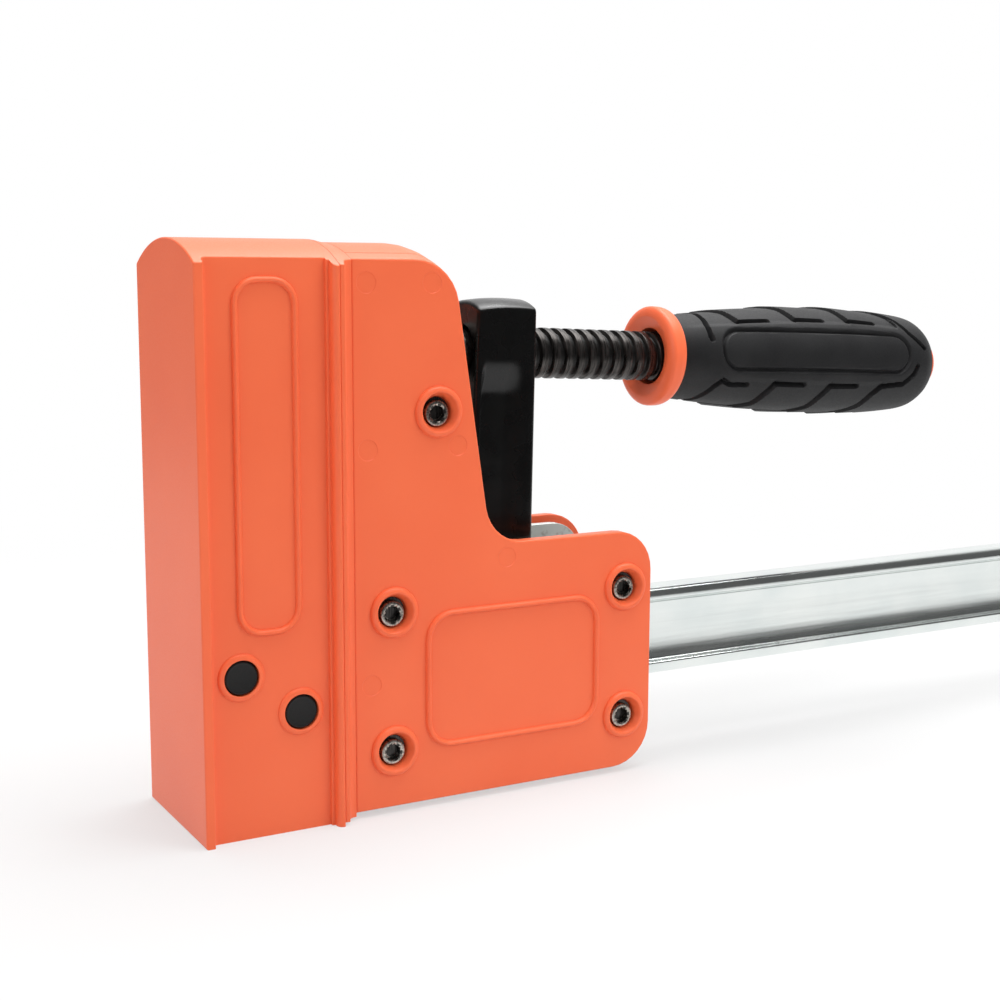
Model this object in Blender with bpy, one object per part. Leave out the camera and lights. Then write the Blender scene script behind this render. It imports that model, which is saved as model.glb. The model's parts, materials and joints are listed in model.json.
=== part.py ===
"""Parallel clamp with a fixed jaw, a screw-driven sliding jaw and an I-section bar.

Metres, +Z up. The world origin is the centre of the fixed jaw's flat base, and +X runs along the
bar from the fixed jaw to the end foot. Inside the script, X is counted from the fixed jaw's back
face, because every fixed piece hangs on one empty that stands there.
"""

import bmesh
import bpy
from math import atan2, cos, hypot, pi, radians, sin, sqrt, tan
from mathutils import Matrix, Vector

MM = 0.001

# Clearances and the fineness of round shapes
GAP = 0.3 * MM                     # running gap between pieces that touch on the real clamp
OVERRUN = 1.0 * MM                 # how far a cutter runs past the face that it opens
SMALL_EDGE = 0.4 * MM              # broken edge of machined pieces
WELD = 0.001 * MM                  # points closer than this are one point
ROUND_SEGMENTS = 16
FASTENER_SEGMENTS = 12             # a multiple of six, so that hexagons keep their corners
FINE_SEGMENTS = 24
ARC_STEPS = 5                      # steps in a quarter turn of an outline's corner
ARCH_STEPS = 10                    # steps across the barrel-shaped top of the jaws
SHARP_ANGLE = radians(35.0)

# Bar
BAR_HEIGHT = 26.5 * MM
BAR_THICKNESS = 9.5 * MM
BAR_CENTRE_Z = 35.4 * MM
BAR_START_X = 5.0 * MM             # the bar's end inside the fixed jaw
BAR_EDGE_RADIUS = 1.1 * MM
BAR_LIP_HEIGHT = 2.0 * MM          # straight side of each thick edge, its radius included
BAR_LIP_SLOPE_HEIGHT = 1.9 * MM    # where the thick edge runs down to the web
BAR_WEB_THICKNESS = 6.4 * MM
BAR_WEB_HOLLOW = 0.35 * MM         # how much the web's middle is hollowed on each side
BAR_EDGE_STEPS = 3

# Outer form shared by both jaws
WALL_HALF = 20.2 * MM              # side walls of both jaws, from the middle plane
BACK_BEAD_OUT = 2.5 * MM           # how far the fixed jaw's back bead stands out of the wall
FLANGE_OUT = 3.5 * MM              # the same for the clamping face's flange
COLLAR_OUT = 1.0 * MM              # and for the low step between wall and flange
JAW_APEX_Z = 148.8 * MM            # top of the sliding jaw's arch behind its face plate
JAW_ARCH_RADIUS = 49.0 * MM
FIXED_APEX_RISE = 0.75 * MM        # how much higher the fixed jaw's arch is
FIXED_ARCH_RADIUS = 44.2 * MM
PLASTIC_WALL = 3.0 * MM

# Fixed jaw
FIXED_JAW_LENGTH = 36.8 * MM       # back face to clamping face
BACK_BEAD_LENGTH = 3.0 * MM
BEAD_STEP = 0.7 * MM
FACE_CAP_LENGTH = 2.6 * MM
FACE_EDGE = 0.5 * MM               # rounding of the clamping face's rim
FLOOR_THICKNESS = 3.5 * MM
PILL_WIDTH = 16.6 * MM
PILL_ABOVE_BAR = 3.35 * MM
PILL_BELOW_APEX = 9.65 * MM
PILL_RADIUS = 6.4 * MM
FRAME_BEAD_WIDTH = 1.2 * MM
FRAME_BEAD_HEIGHT = 0.45 * MM

# Cast core of the fixed jaw and its two pins
CORE_FLANGE = 5.0 * MM
CORE_WEB_HALF = 3.2 * MM
CORE_TOP_GAP = 7.75 * MM           # below the arch
CORE_CHEEK_HALF = 11.5 * MM
CORE_CHEEK_MARGIN = 6.0 * MM       # above and below the bar
CORE_RIB_HALF = 13.5 * MM
CORE_RIB_THICKNESS = 3.6 * MM
CORE_RIB_SHARES = (0.34, 0.68)     # places of the ribs between the cheeks and the top
JAW_PIN_RADIUS = 3.0 * MM
JAW_PIN_INSET = 0.5 * MM           # from the pin's end to the wall's inner side
REAR_PIN_X = 10.6 * MM
REAR_PIN_ABOVE_CENTRE = 6.4 * MM
FRONT_PIN_FROM_FACE = 10.5 * MM
FRONT_PIN_BELOW_CENTRE = 4.2 * MM
PLUG_RADIUS = 4.3 * MM
PLUG_PROUD = 0.5 * MM              # how far a plug stands out of the wall
PLUG_DEPTH = 2.6 * MM
PLUG_BOSS_RADIUS = 5.7 * MM
PLUG_BOSS_HEIGHT = 0.4 * MM

# Sliding jaw: outline of the covers
JAW_FACE_LENGTH = 4.0 * MM         # thickness of the face plate
JAW_FLANGE_INSET = 0.5 * MM        # its flange, behind the fixed jaw's flange on each side
JAW_FLANGE_LENGTH = 2.3 * MM
JAW_FACE_BASE_Z = 0.9 * MM
JAW_BASE_Z = 1.7 * MM
COVER_LENGTH = 92.0 * MM
COVER_TOP_LENGTH = 28.8 * MM       # to where the top would meet the sloping back, unrounded
COVER_STEP_LENGTH = 40.0 * MM      # to where the sloping back would meet the lower box
COVER_STEP_ABOVE_BAR = 20.95 * MM  # top of the lower box
JAW_TOP_RADIUS = 12.8 * MM
JAW_VALLEY_RADIUS = 11.5 * MM
JAW_REAR_TOP_RADIUS = 11.5 * MM
JAW_REAR_BASE_RADIUS = 12.0 * MM
COVER_THICKNESS = 3.65 * MM
COVER_RIB_THICKNESS = 2.0 * MM
LABEL_FROM_FRONT_SCREW = 9.4 * MM
LABEL_FROM_REAR_SCREW = 8.9 * MM
LABEL_HEIGHT = 36.8 * MM
LABEL_DROP = 1.0 * MM              # its middle below the bar's middle
LABEL_RADIUS = 7.6 * MM

# Side plates, screws, sleeves and thrust block of the sliding jaw
PLATE_THICKNESS = 3.0 * MM
PLATE_INSET = 1.6 * MM             # from the covers' outline to the plates' outline
PLATE_TOP_DROP = 12.0 * MM         # from the covers' top edge to the plates' top
FRONT_SCREW_INSET = 11.1 * MM      # from the covers' front edge
REAR_SCREW_INSET = 9.0 * MM        # from the covers' rear edge
TOP_SCREW_INSET = 24.2 * MM        # from the covers' front edge
TOP_SCREW_BELOW_APEX = 43.3 * MM
SCREW_RADIUS = 2.0 * MM
SCREW_HEAD_RADIUS = 3.5 * MM
SCREW_HEAD_RECESS = 0.15 * MM      # head's face below the cover's side
SCREW_SOCKET_ACROSS = 3.0 * MM
SCREW_SOCKET_DEPTH = 1.3 * MM
SCREW_BORE_RADIUS = 2.3 * MM
BOSS_RADIUS = 6.4 * MM
BOSS_HEIGHT = 0.8 * MM
BOSS_ROUND = 0.5 * MM
BOSS_HOLE_RADIUS = 5.0 * MM
BOSS_FLOOR = 0.8 * MM
WASHER_RADIUS = 4.5 * MM
WASHER_THICKNESS = 0.5 * MM
STACK_GAP = 0.15 * MM              # between floor, washer and head or nut
NUT_ACROSS = 7.0 * MM
NUT_THICKNESS = 2.2 * MM
SLEEVE_RADIUS = 4.95 * MM
SPACER_BASE_GAP = 1.2 * MM         # over the front guide sleeve
SPACER_LENGTH = 16.0 * MM
BLOCK_LENGTH = 13.3 * MM
BLOCK_BELOW_SCREW = 7.5 * MM
BLOCK_EDGE = 3.0 * MM

# Clamping arm, in its own tilted frame with the pivot pin at its origin
ARM_LEAN = 2.78 * MM               # how far its spindle passes behind the pivot pin
ARM_DEPTH = 18.4 * MM
ARM_WIDTH = 19.2 * MM
ARM_SIDE_PLAY = 0.8 * MM
ARM_EDGE = 1.5 * MM
PIVOT_INSET = 47.7 * MM            # from the covers' front edge
PIVOT_ABOVE_BAR = 9.85 * MM
PIVOT_RADIUS = 3.0 * MM
SPINDLE_BELOW_APEX = 29.2 * MM     # where the spindle's axis passes over the pivot's plane
ARM_ABOVE_SPINDLE = 11.2 * MM      # to the top's side edges
ARM_CROWN = 3.3 * MM               # how much the top is arched from side to side
ARM_TOP_RADIUS = 2.0 * MM
ARM_FOOT_DEPTH = 7.5 * MM          # below the window
ARM_FOOT_RADIUS = 6.0 * MM
WINDOW_PLAY = 0.8 * MM             # above and below the bar, which lets the arm tilt
WINDOW_SIDE_GAP = 0.5 * MM
POCKET_DEPTH = 3.0 * MM
POCKET_FRONT_RIM = 2.4 * MM
POCKET_REAR_RIM = 3.9 * MM
POCKET_TOP_BELOW_SPINDLE = 5.5 * MM
POCKET_BASE_ABOVE_PIVOT = 7.0 * MM
POCKET_RADIUS = 4.5 * MM

ARM_STOP_BEFORE_SCREW = 15.3 * MM  # from the pivot pin at full feed to the rear screws

# Spindle, swivel pad and handle, along the spindle's axis from the pivot's plane
THREAD_RADIUS = 7.0 * MM
THREAD_ROOT_RADIUS = 5.9 * MM
THREAD_PITCH = 4.0 * MM
THREAD_TURNS = 14
THREAD_START_S = -8.6 * MM
THREAD_SHARES = (0.0, 0.16, 0.62, 0.78)   # root, crest, crest, root along one pitch
THREAD_TURN_SEGMENTS = 16
SHANK_RADIUS = 7.9 * MM
SHANK_END_S = 92.0 * MM
PAD_RADIUS = 8.0 * MM
PAD_LENGTH = 6.6 * MM
PAD_START_S = -10.6 * MM
PAD_FACE_THICKNESS = 1.9 * MM
TIP_RADIUS = 4.5 * MM
TIP_LENGTH = 3.0 * MM
TIP_NECK_RADIUS = 3.3 * MM
PAD_LIP = 1.1 * MM
COLLAR_START_S = 51.8 * MM
COLLAR_LENGTH = 5.7 * MM
COLLAR_RADIUS = 14.5 * MM
COLLAR_NOSE_LENGTH = 1.6 * MM      # rounded front of the rim, along the axis
COLLAR_NOSE_HEIGHT = 2.9 * MM      # and across it
COLLAR_BACK_DROP = 1.0 * MM        # how much the rim narrows to its back
COLLAR_DISH = 1.2 * MM
HANDLE_TUBE_RADIUS = 10.0 * MM
HANDLE_END_S = 163.9 * MM
HANDLE_END_RADIUS = 8.0 * MM
HANDLE_END_LENGTH = 6.0 * MM
HANDLE_CROWN = 0.6 * MM
HANDLE_PIN_RADIUS = 2.0 * MM
HANDLE_PIN_S = 80.0 * MM
GRIP_END_INSET = 0.8 * MM          # from the rubber's end to the orange end disc
GRIP_RADIUS = 16.4 * MM
GRIP_LENGTH_SHARES = (0.0, 0.04, 0.055, 0.09, 0.21, 0.38, 0.57, 0.73, 0.895, 0.957, 0.986, 1.0)
GRIP_RADIUS_SHARES = (0.755, 0.76, 0.80, 0.82, 0.92, 0.995, 1.0, 0.965, 0.872, 0.78, 0.63, 0.53)

# Bar end: opening of the jaws, foot and its pin
JAW_OPENING = 305.0 * MM
STOP_CLEARANCE = 1.3 * MM
FOOT_LENGTH = 16.0 * MM
FOOT_HALF = 17.0 * MM
FOOT_ABOVE_BAR = 7.0 * MM
FOOT_RADIUS = 5.0 * MM
FOOT_END_WALL = 3.5 * MM
FOOT_PIN_RADIUS = 2.5 * MM
FOOT_PIN_INSET = 1.0 * MM

# Places that follow from the sizes above
BAR_HALF = BAR_HEIGHT / 2
BAR_TOP_Z = BAR_CENTRE_Z + BAR_HALF
BACK_BEAD_HALF = WALL_HALF + BACK_BEAD_OUT
FACE_COLLAR_HALF = WALL_HALF + COLLAR_OUT
FLANGE_HALF = WALL_HALF + FLANGE_OUT
JAW_FLANGE_HALF = FLANGE_HALF - JAW_FLANGE_INSET
FIXED_APEX_Z = JAW_APEX_Z + FIXED_APEX_RISE
GUIDE_OFFSET = BAR_HALF + GAP + SLEEVE_RADIUS
JAW_FACE_X = FIXED_JAW_LENGTH + GAP
COVER_START_X = JAW_FACE_X + JAW_FACE_LENGTH + GAP
COVER_STEP_X = COVER_START_X + COVER_STEP_LENGTH
COVER_STEP_Z = BAR_TOP_Z + COVER_STEP_ABOVE_BAR
JAW_REAR_X = COVER_START_X + COVER_LENGTH
FRONT_SCREW_X = COVER_START_X + FRONT_SCREW_INSET
REAR_SCREW_X = JAW_REAR_X - REAR_SCREW_INSET
BLOCK_START_X = COVER_START_X + SPACER_LENGTH + GAP
SEAM_HALF = WALL_HALF - COVER_THICKNESS
ARM_HALF = ARM_WIDTH / 2
PLATE_INNER_HALF = ARM_HALF + ARM_SIDE_PLAY
PLATE_OUTER_HALF = PLATE_INNER_HALF + PLATE_THICKNESS
INNER_HALF = PLATE_INNER_HALF - GAP
PIVOT_X = COVER_START_X + PIVOT_INSET
PIVOT_Z = BAR_TOP_Z + PIVOT_ABOVE_BAR
ARM_FEED = REAR_SCREW_X - ARM_STOP_BEFORE_SCREW - PIVOT_X
SPINDLE_RISE = JAW_APEX_Z - SPINDLE_BELOW_APEX - PIVOT_Z
SPINDLE_ABOVE_PIVOT = hypot(SPINDLE_RISE, ARM_LEAN)
ARM_TILT = atan2(ARM_LEAN, SPINDLE_RISE)
FOOT_START_X = JAW_REAR_X + JAW_OPENING + STOP_CLEARANCE
BAR_END_X = FOOT_START_X + FOOT_LENGTH - FOOT_END_WALL
CAVITY_HALF = WALL_HALF - PLASTIC_WALL
CAP_START_X = FIXED_JAW_LENGTH - FACE_CAP_LENGTH
BOSS_FLOOR_HALF = SEAM_HALF + GAP + BOSS_FLOOR
FOOT_PIN_PLACE = ((FOOT_START_X + BAR_END_X) / 2, BAR_CENTRE_Z)
AXES = {"X": Vector((1, 0, 0)), "Y": Vector((0, 1, 0))}
UP = Vector((0, 0, 1))
JAW_PINS = {
    "rear": (REAR_PIN_X, BAR_CENTRE_Z + REAR_PIN_ABOVE_CENTRE),
    "front": (FIXED_JAW_LENGTH - FRONT_PIN_FROM_FACE, BAR_CENTRE_Z - FRONT_PIN_BELOW_CENTRE),
}
GUIDE_SCREWS = {
    "front_upper": (FRONT_SCREW_X, BAR_CENTRE_Z + GUIDE_OFFSET),
    "rear_upper": (REAR_SCREW_X, BAR_CENTRE_Z + GUIDE_OFFSET),
    "front_lower": (FRONT_SCREW_X, BAR_CENTRE_Z - GUIDE_OFFSET),
    "rear_lower": (REAR_SCREW_X, BAR_CENTRE_Z - GUIDE_OFFSET),
}
JAW_SCREWS = {
    **GUIDE_SCREWS, "top": (COVER_START_X + TOP_SCREW_INSET, JAW_APEX_Z - TOP_SCREW_BELOW_APEX)}


def clear_scene():
    for old in list(bpy.data.objects):
        bpy.data.objects.remove(old, do_unlink=True)


def plain_material(name, colour, roughness, metallic):
    material = bpy.data.materials.new(name)
    material.use_nodes = True
    shader = material.node_tree.nodes["Principled BSDF"]
    shader.inputs["Base Color"].default_value = (*colour, 1.0)
    shader.inputs["Roughness"].default_value = roughness
    shader.inputs["Metallic"].default_value = metallic
    material.diffuse_color = (*colour, 1.0)
    return material


# Colours of the finishes, linear, with roughness and metallic value
FINISHES = {
    "orange": ((0.90, 0.17, 0.07), 0.45, 0.0),
    "zinc": ((0.72, 0.76, 0.76), 0.28, 1.0),
    "cast": ((0.30, 0.30, 0.31), 0.55, 0.9),
    "black_plastic": ((0.012, 0.012, 0.012), 0.60, 0.0),
    "black_gloss": ((0.006, 0.006, 0.006), 0.22, 0.0),
    "black_oxide": ((0.028, 0.026, 0.025), 0.38, 0.8),
    "dark_steel": ((0.09, 0.085, 0.08), 0.35, 1.0),
    "rubber": ((0.040, 0.040, 0.042), 0.70, 0.0),
}


def empty(name, parent, location, tilt):
    holder = bpy.data.objects.new(name, None)
    bpy.context.scene.collection.objects.link(holder)
    holder.parent = parent
    holder.location = location
    holder.rotation_euler = (0.0, tilt, 0.0)
    return holder


def make(name, mesh_form, finish, parent):
    """Turn a bmesh into a named object with its own material."""
    bmesh.ops.recalc_face_normals(mesh_form, faces=mesh_form.faces[:])
    mesh = bpy.data.meshes.new(name)
    mesh_form.to_mesh(mesh)
    mesh_form.free()
    mesh.shade_smooth()
    mesh.set_sharp_from_angle(angle=SHARP_ANGLE)
    made = bpy.data.objects.new(name, mesh)
    bpy.context.scene.collection.objects.link(made)
    made.parent = parent
    if finish:
        made.data.materials.append(plain_material(name, *FINISHES[finish]))
    return made


def make_copies(places, name, mesh_form, finish, parent):
    """Put one piece at each named place (x, z), all sharing a mesh."""
    first = None
    for place, (x, z) in places.items():
        full_name = name.format(place)
        if first is None:
            first = made = make(full_name, mesh_form, finish, parent)
        else:
            made = bpy.data.objects.new(full_name, first.data)
            bpy.context.scene.collection.objects.link(made)
            made.parent = parent
        made.location = (x, 0, z)


def combine(target, name, tool_form, operation):
    """Join, cut out or intersect a helper shape, and keep the helper as a guide."""
    tool = make(name, tool_form, None, target.parent)
    tool.hide_render = True
    tool.display_type = 'WIRE'
    change = target.modifiers.new(name, 'BOOLEAN')
    change.operation = operation
    change.solver = 'EXACT'
    change.object = tool


def cut(target, name, tool_form):
    combine(target, name, tool_form, 'DIFFERENCE')


def join(target, name, tool_form):
    combine(target, name, tool_form, 'UNION')


def loft(rings, form=None, closed=False):
    """Skin a row of rings with equally many points, then cap both ends or join last to first."""
    form = form or bmesh.new()
    rows = [[form.verts.new(point) for point in ring] for ring in rings]
    count = len(rows[0])
    for row, following in zip(rows, rows[1:] + rows[:1] if closed else rows[1:]):
        for i in range(count):
            j = (i + 1) % count
            form.faces.new((row[i], row[j], following[j], following[i]))
    if not closed:
        form.faces.new(rows[0])
        form.faces.new(list(reversed(rows[-1])))
    return form


def box(low, high, form=None):
    form = form or bmesh.new()
    size = [b - a for a, b in zip(low, high)]
    centre = [(a + b) / 2 for a, b in zip(low, high)]
    matrix = Matrix.Translation(centre) @ Matrix.Diagonal((*size, 1.0))
    bmesh.ops.create_cube(form, size=1.0, matrix=matrix)
    return form


def rounded(corners):
    """Outline with straight sides, where each corner (a, b, radius) is rounded by an arc."""
    points = []
    count = len(corners)
    for i, (a, b, radius) in enumerate(corners):
        here = Vector((a, b))
        if not radius:
            points.append(here)
            continue
        back = (Vector(corners[i - 1][:2]) - here).normalized()
        ahead = (Vector(corners[(i + 1) % count][:2]) - here).normalized()
        angle = back.angle(ahead)
        centre = here + (back + ahead).normalized() * (radius / sin(angle / 2))
        spoke = here + back * (radius / tan(angle / 2)) - centre
        end = here + ahead * (radius / tan(angle / 2)) - centre
        steps = max(2, round(ARC_STEPS * (pi - angle) / (pi / 2)))
        sweep = -spoke.angle_signed(end)
        for step in range(steps + 1):
            turn = sweep * step / steps
            points.append(centre + Vector((
                spoke.x * cos(turn) - spoke.y * sin(turn),
                spoke.x * sin(turn) + spoke.y * cos(turn),
            )))
    return points


def rounded_rectangle(low_a, high_a, low_b, high_b, radius):
    return rounded([(low_a, low_b, radius), (high_a, low_b, radius),
                    (high_a, high_b, radius), (low_a, high_b, radius)])


def obround(a_low, a_high, b, radius):
    """Slot outline, whose round ends have their centres at (a_low, b) and (a_high, b)."""
    steps = 2 * ARC_STEPS
    points = []
    for a, start in ((a_high, -pi / 2), (a_low, pi / 2)):
        for step in range(steps + 1):
            turn = start + pi * step / steps
            points.append(Vector((a + radius * cos(turn), b + radius * sin(turn))))
    return points


def side_prism(outline, y_low, y_high, form=None):
    """Extrude an outline in the XZ plane from y_low to y_high."""
    return loft([[(a, y, b) for a, b in outline] for y in (y_low, y_high)], form)


def turned(profile, axis, centre=(0, 0, 0), closed=False, segments=ROUND_SEGMENTS, form=None):
    """Spin a profile of (along, radius) points about X or Y through the centre."""
    form = form or bmesh.new()
    along = AXES[axis]
    middle = Vector(centre)
    older = set(form.verts)
    chain = [form.verts.new(middle + along * s + UP * r) for s, r in profile]
    edges = [form.edges.new(pair) for pair in zip(chain, chain[1:])]
    if closed:
        edges.append(form.edges.new((chain[-1], chain[0])))
    bmesh.ops.spin(form, geom=chain + edges, cent=middle, axis=along, angle=2 * pi,
                   steps=segments, use_merge=True)
    fresh = [vert for vert in form.verts if vert not in older]
    bmesh.ops.remove_doubles(form, verts=fresh, dist=WELD)
    return form


def pin(reach, radius):
    """Plain pin across the clamp with broken edges, centred on the middle plane."""
    edge = SMALL_EDGE
    profile = [(-reach, 0), (-reach, radius - edge), (edge - reach, radius),
               (reach - edge, radius), (reach, radius - edge), (reach, 0)]
    return turned(profile, "Y", segments=FASTENER_SEGMENTS)


def cross_bores(places, reach, radius, segments=FASTENER_SEGMENTS):
    """Cutters for holes across the clamp at places (x, z)."""
    form = bmesh.new()
    profile = [(-reach, 0), (-reach, radius), (reach, radius), (reach, 0)]
    for x, z in places:
        turned(profile, "Y", (x, 0, z), segments=segments, form=form)
    return form


def tube(start, end, inner, outer):
    """Closed profile of a sleeve."""
    return [(start, inner), (start, outer), (end, outer), (end, inner)]


def round_ring(y, radius):
    """Circle about the Y axis."""
    steps = FASTENER_SEGMENTS
    return [(radius * cos(2 * pi * i / steps), y, radius * sin(2 * pi * i / steps))
            for i in range(steps)]


def hexagon_ring(y, across):
    """Hexagon about the Y axis, with as many points as a circle, so that both can be lofted."""
    ring = []
    for i in range(FASTENER_SEGMENTS):
        turn = 2 * pi * i / FASTENER_SEGMENTS
        reach = across / 2 / cos(turn % (pi / 3) - pi / 6)
        ring.append((reach * cos(turn), y, reach * sin(turn)))
    return ring


def arch_height(y, apex, radius):
    return apex - radius + sqrt(radius * radius - y * y)


def arched_ring(x, half, base, apex, radius):
    """Section of a jaw across the bar: flat base, upright sides, barrel-shaped top."""
    ring = [(x, -half, base), (x, half, base)]
    for step in range(ARCH_STEPS + 1):
        y = half * (1 - 2 * step / ARCH_STEPS)
        ring.append((x, y, arch_height(y, apex, radius)))
    return ring


def bar_section():
    """Half of the bar's I-section from the top's middle to the bottom's middle, then mirrored."""
    side = BAR_THICKNESS / 2
    web = BAR_WEB_THICKNESS / 2
    corner = BAR_EDGE_RADIUS
    lip = BAR_HALF - BAR_LIP_HEIGHT
    foot = lip - BAR_LIP_SLOPE_HEIGHT
    upper = []
    for step in range(BAR_EDGE_STEPS + 1):
        turn = pi / 2 * (1 - step / BAR_EDGE_STEPS)
        upper.append((side - corner + corner * cos(turn), BAR_HALF - corner + corner * sin(turn)))
    upper.append((side, lip))
    upper.append(((side + web) / 2, (lip + foot) / 2))
    upper.append((web, foot))
    upper.append((web - BAR_WEB_HOLLOW / 2, foot / 2))
    upper.append((web - BAR_WEB_HOLLOW, 0))
    right = upper + [(y, -z) for y, z in reversed(upper[:-1])]
    return right + [(-y, z) for y, z in reversed(right)]


def build_bar(frame):
    section = bar_section()
    form = loft([[(x, y, BAR_CENTRE_Z + z) for y, z in section] for x in (BAR_START_X, BAR_END_X)])
    bar = make("bar", form, "zinc", frame)
    reach = BAR_THICKNESS / 2 + OVERRUN
    cut(bar, "bar_jaw_pin_holes", cross_bores(JAW_PINS.values(), reach, JAW_PIN_RADIUS + GAP))
    cut(bar, "bar_foot_pin_hole", cross_bores([FOOT_PIN_PLACE], reach, FOOT_PIN_RADIUS + GAP))


def frame_bead(corners, sign):
    """Raised rounded-rectangle bead on a side wall."""
    low_a, high_a, low_b, high_b, radius = corners
    width = FRAME_BEAD_WIDTH
    outer = rounded_rectangle(low_a, high_a, low_b, high_b, radius)
    inner = rounded_rectangle(low_a + width, high_a - width, low_b + width, high_b - width,
                              radius - width)
    wall = sign * (WALL_HALF - FRAME_BEAD_HEIGHT)
    crest = sign * (WALL_HALF + FRAME_BEAD_HEIGHT)
    slope_share = 0.25
    rings = [[(p.x + (q.x - p.x) * share, y, p.y + (q.y - p.y) * share)
              for p, q in zip(outer, inner)]
             for share, y in ((0, wall), (slope_share, crest), (1 - slope_share, crest), (1, wall))]
    return loft(rings, closed=True)


def fixed_jaw_stations():
    """Half width of the housing along X: back bead, step, side wall."""
    bead = BACK_BEAD_LENGTH
    return ((0, BACK_BEAD_HALF - FACE_EDGE), (FACE_EDGE, BACK_BEAD_HALF),
            (bead - BEAD_STEP, BACK_BEAD_HALF), (bead, WALL_HALF + BEAD_STEP),
            (bead + BEAD_STEP, WALL_HALF), (CAP_START_X - GAP, WALL_HALF))


def build_fixed_jaw(frame):
    rings = [arched_ring(x, half, 0, FIXED_APEX_Z, FIXED_ARCH_RADIUS)
             for x, half in fixed_jaw_stations()]
    housing = make("fixed_jaw_housing", loft(rings), "orange", frame)
    for sign in (-1, 1):
        bosses = bmesh.new()
        top = WALL_HALF + PLUG_BOSS_HEIGHT
        boss = [(sign * CAVITY_HALF, 0), (sign * CAVITY_HALF, PLUG_BOSS_RADIUS),
                (sign * (top - PLUG_BOSS_HEIGHT), PLUG_BOSS_RADIUS),
                (sign * top, PLUG_BOSS_RADIUS - PLUG_BOSS_HEIGHT), (sign * top, 0)]
        for x, z in JAW_PINS.values():
            turned(boss, "Y", (x, 0, z), form=bosses)
        join(housing, "plug_bosses" + side_name(sign), bosses)
    middle = FIXED_JAW_LENGTH / 2
    pill = (middle - PILL_WIDTH / 2, middle + PILL_WIDTH / 2,
            BAR_TOP_Z + PILL_ABOVE_BAR, FIXED_APEX_Z - PILL_BELOW_APEX, PILL_RADIUS)
    join(housing, "pill_frame", frame_bead(pill, -1))
    cavity = loft([arched_ring(x, CAVITY_HALF, FLOOR_THICKNESS, FIXED_APEX_Z - PLASTIC_WALL,
                               FIXED_ARCH_RADIUS - PLASTIC_WALL)
                   for x in (FLOOR_THICKNESS, CAP_START_X + OVERRUN)])
    cut(housing, "jaw_cavity", cavity)
    cut(housing, "plug_holes", cross_bores(JAW_PINS.values(), BACK_BEAD_HALF, PLUG_RADIUS + GAP,
                                           ROUND_SEGMENTS))
    build_fixed_face(frame)
    build_fixed_core(frame)
    make_copies(JAW_PINS, "{}_jaw_pin", pin(CAVITY_HALF - JAW_PIN_INSET, JAW_PIN_RADIUS),
                "dark_steel", frame)
    face = WALL_HALF + PLUG_PROUD
    back = WALL_HALF - PLUG_DEPTH
    for sign in (-1, 1):
        plug = [(sign * back, 0), (sign * back, PLUG_RADIUS), (sign * (face - SMALL_EDGE), PLUG_RADIUS),
                (sign * face, PLUG_RADIUS - SMALL_EDGE), (sign * face, 0)]
        make_copies(JAW_PINS, "{}_pin_plug" + side_name(sign), turned(plug, "Y"),
                    "black_plastic", frame)


def side_name(sign):
    return "_near" if sign < 0 else "_far"


def bar_window(x_low, x_high, margin):
    half = BAR_THICKNESS / 2 + margin
    return box((x_low, -half, BAR_CENTRE_Z - BAR_HALF - margin),
               (x_high, half, BAR_CENTRE_Z + BAR_HALF + margin))


def build_fixed_face(frame):
    face = FIXED_JAW_LENGTH
    stations = ((CAP_START_X, FACE_COLLAR_HALF), (CAP_START_X + FACE_EDGE, FACE_COLLAR_HALF),
                (CAP_START_X + 2 * FACE_EDGE, FLANGE_HALF - FACE_EDGE),
                (CAP_START_X + 3 * FACE_EDGE, FLANGE_HALF),
                (face - FACE_EDGE, FLANGE_HALF), (face, FLANGE_HALF - FACE_EDGE))
    rings = [arched_ring(x, half, 0, FIXED_APEX_Z, FIXED_ARCH_RADIUS) for x, half in stations]
    cap = make("fixed_jaw_face", loft(rings), "orange", frame)
    cut(cap, "fixed_face_window", bar_window(CAP_START_X - OVERRUN, face + OVERRUN, GAP))


def build_fixed_core(frame):
    """Cast I-shaped core: rear flange, web, front flange, cheeks round the bar and two ribs."""
    low, high = FLOOR_THICKNESS + GAP, CAP_START_X - GAP
    wide = CAVITY_HALF - GAP
    base = FLOOR_THICKNESS + GAP
    top = FIXED_APEX_Z - CORE_TOP_GAP
    web = CORE_WEB_HALF
    half_outline = [(low, wide), (low + CORE_FLANGE, wide), (low + CORE_FLANGE, web),
                    (high - CORE_FLANGE, web), (high - CORE_FLANGE, wide), (high, wide)]
    outline = half_outline + [(x, -y) for x, y in reversed(half_outline)]
    core = make("fixed_jaw_core", loft([[(x, y, z) for x, y in outline] for z in (base, top)]),
                "cast", frame)
    inside = CORE_FLANGE / 2
    cheek_low = BAR_CENTRE_Z - BAR_HALF - CORE_CHEEK_MARGIN
    cheek_high = BAR_CENTRE_Z + BAR_HALF + CORE_CHEEK_MARGIN
    join(core, "core_cheeks", box((low + inside, -CORE_CHEEK_HALF, cheek_low),
                                  (high - inside, CORE_CHEEK_HALF, cheek_high)))
    for number, share in enumerate(CORE_RIB_SHARES):
        z = cheek_high + (top - cheek_high) * share
        join(core, "core_rib_%d" % number, box((low + inside, -CORE_RIB_HALF, z),
                                               (high - inside, CORE_RIB_HALF,
                                                z + CORE_RIB_THICKNESS)))
    cut(core, "core_bar_slot", bar_window(BAR_START_X - GAP, high + OVERRUN, GAP))
    cut(core, "core_pin_bores", cross_bores(JAW_PINS.values(), CAVITY_HALF, JAW_PIN_RADIUS + GAP))


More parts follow.
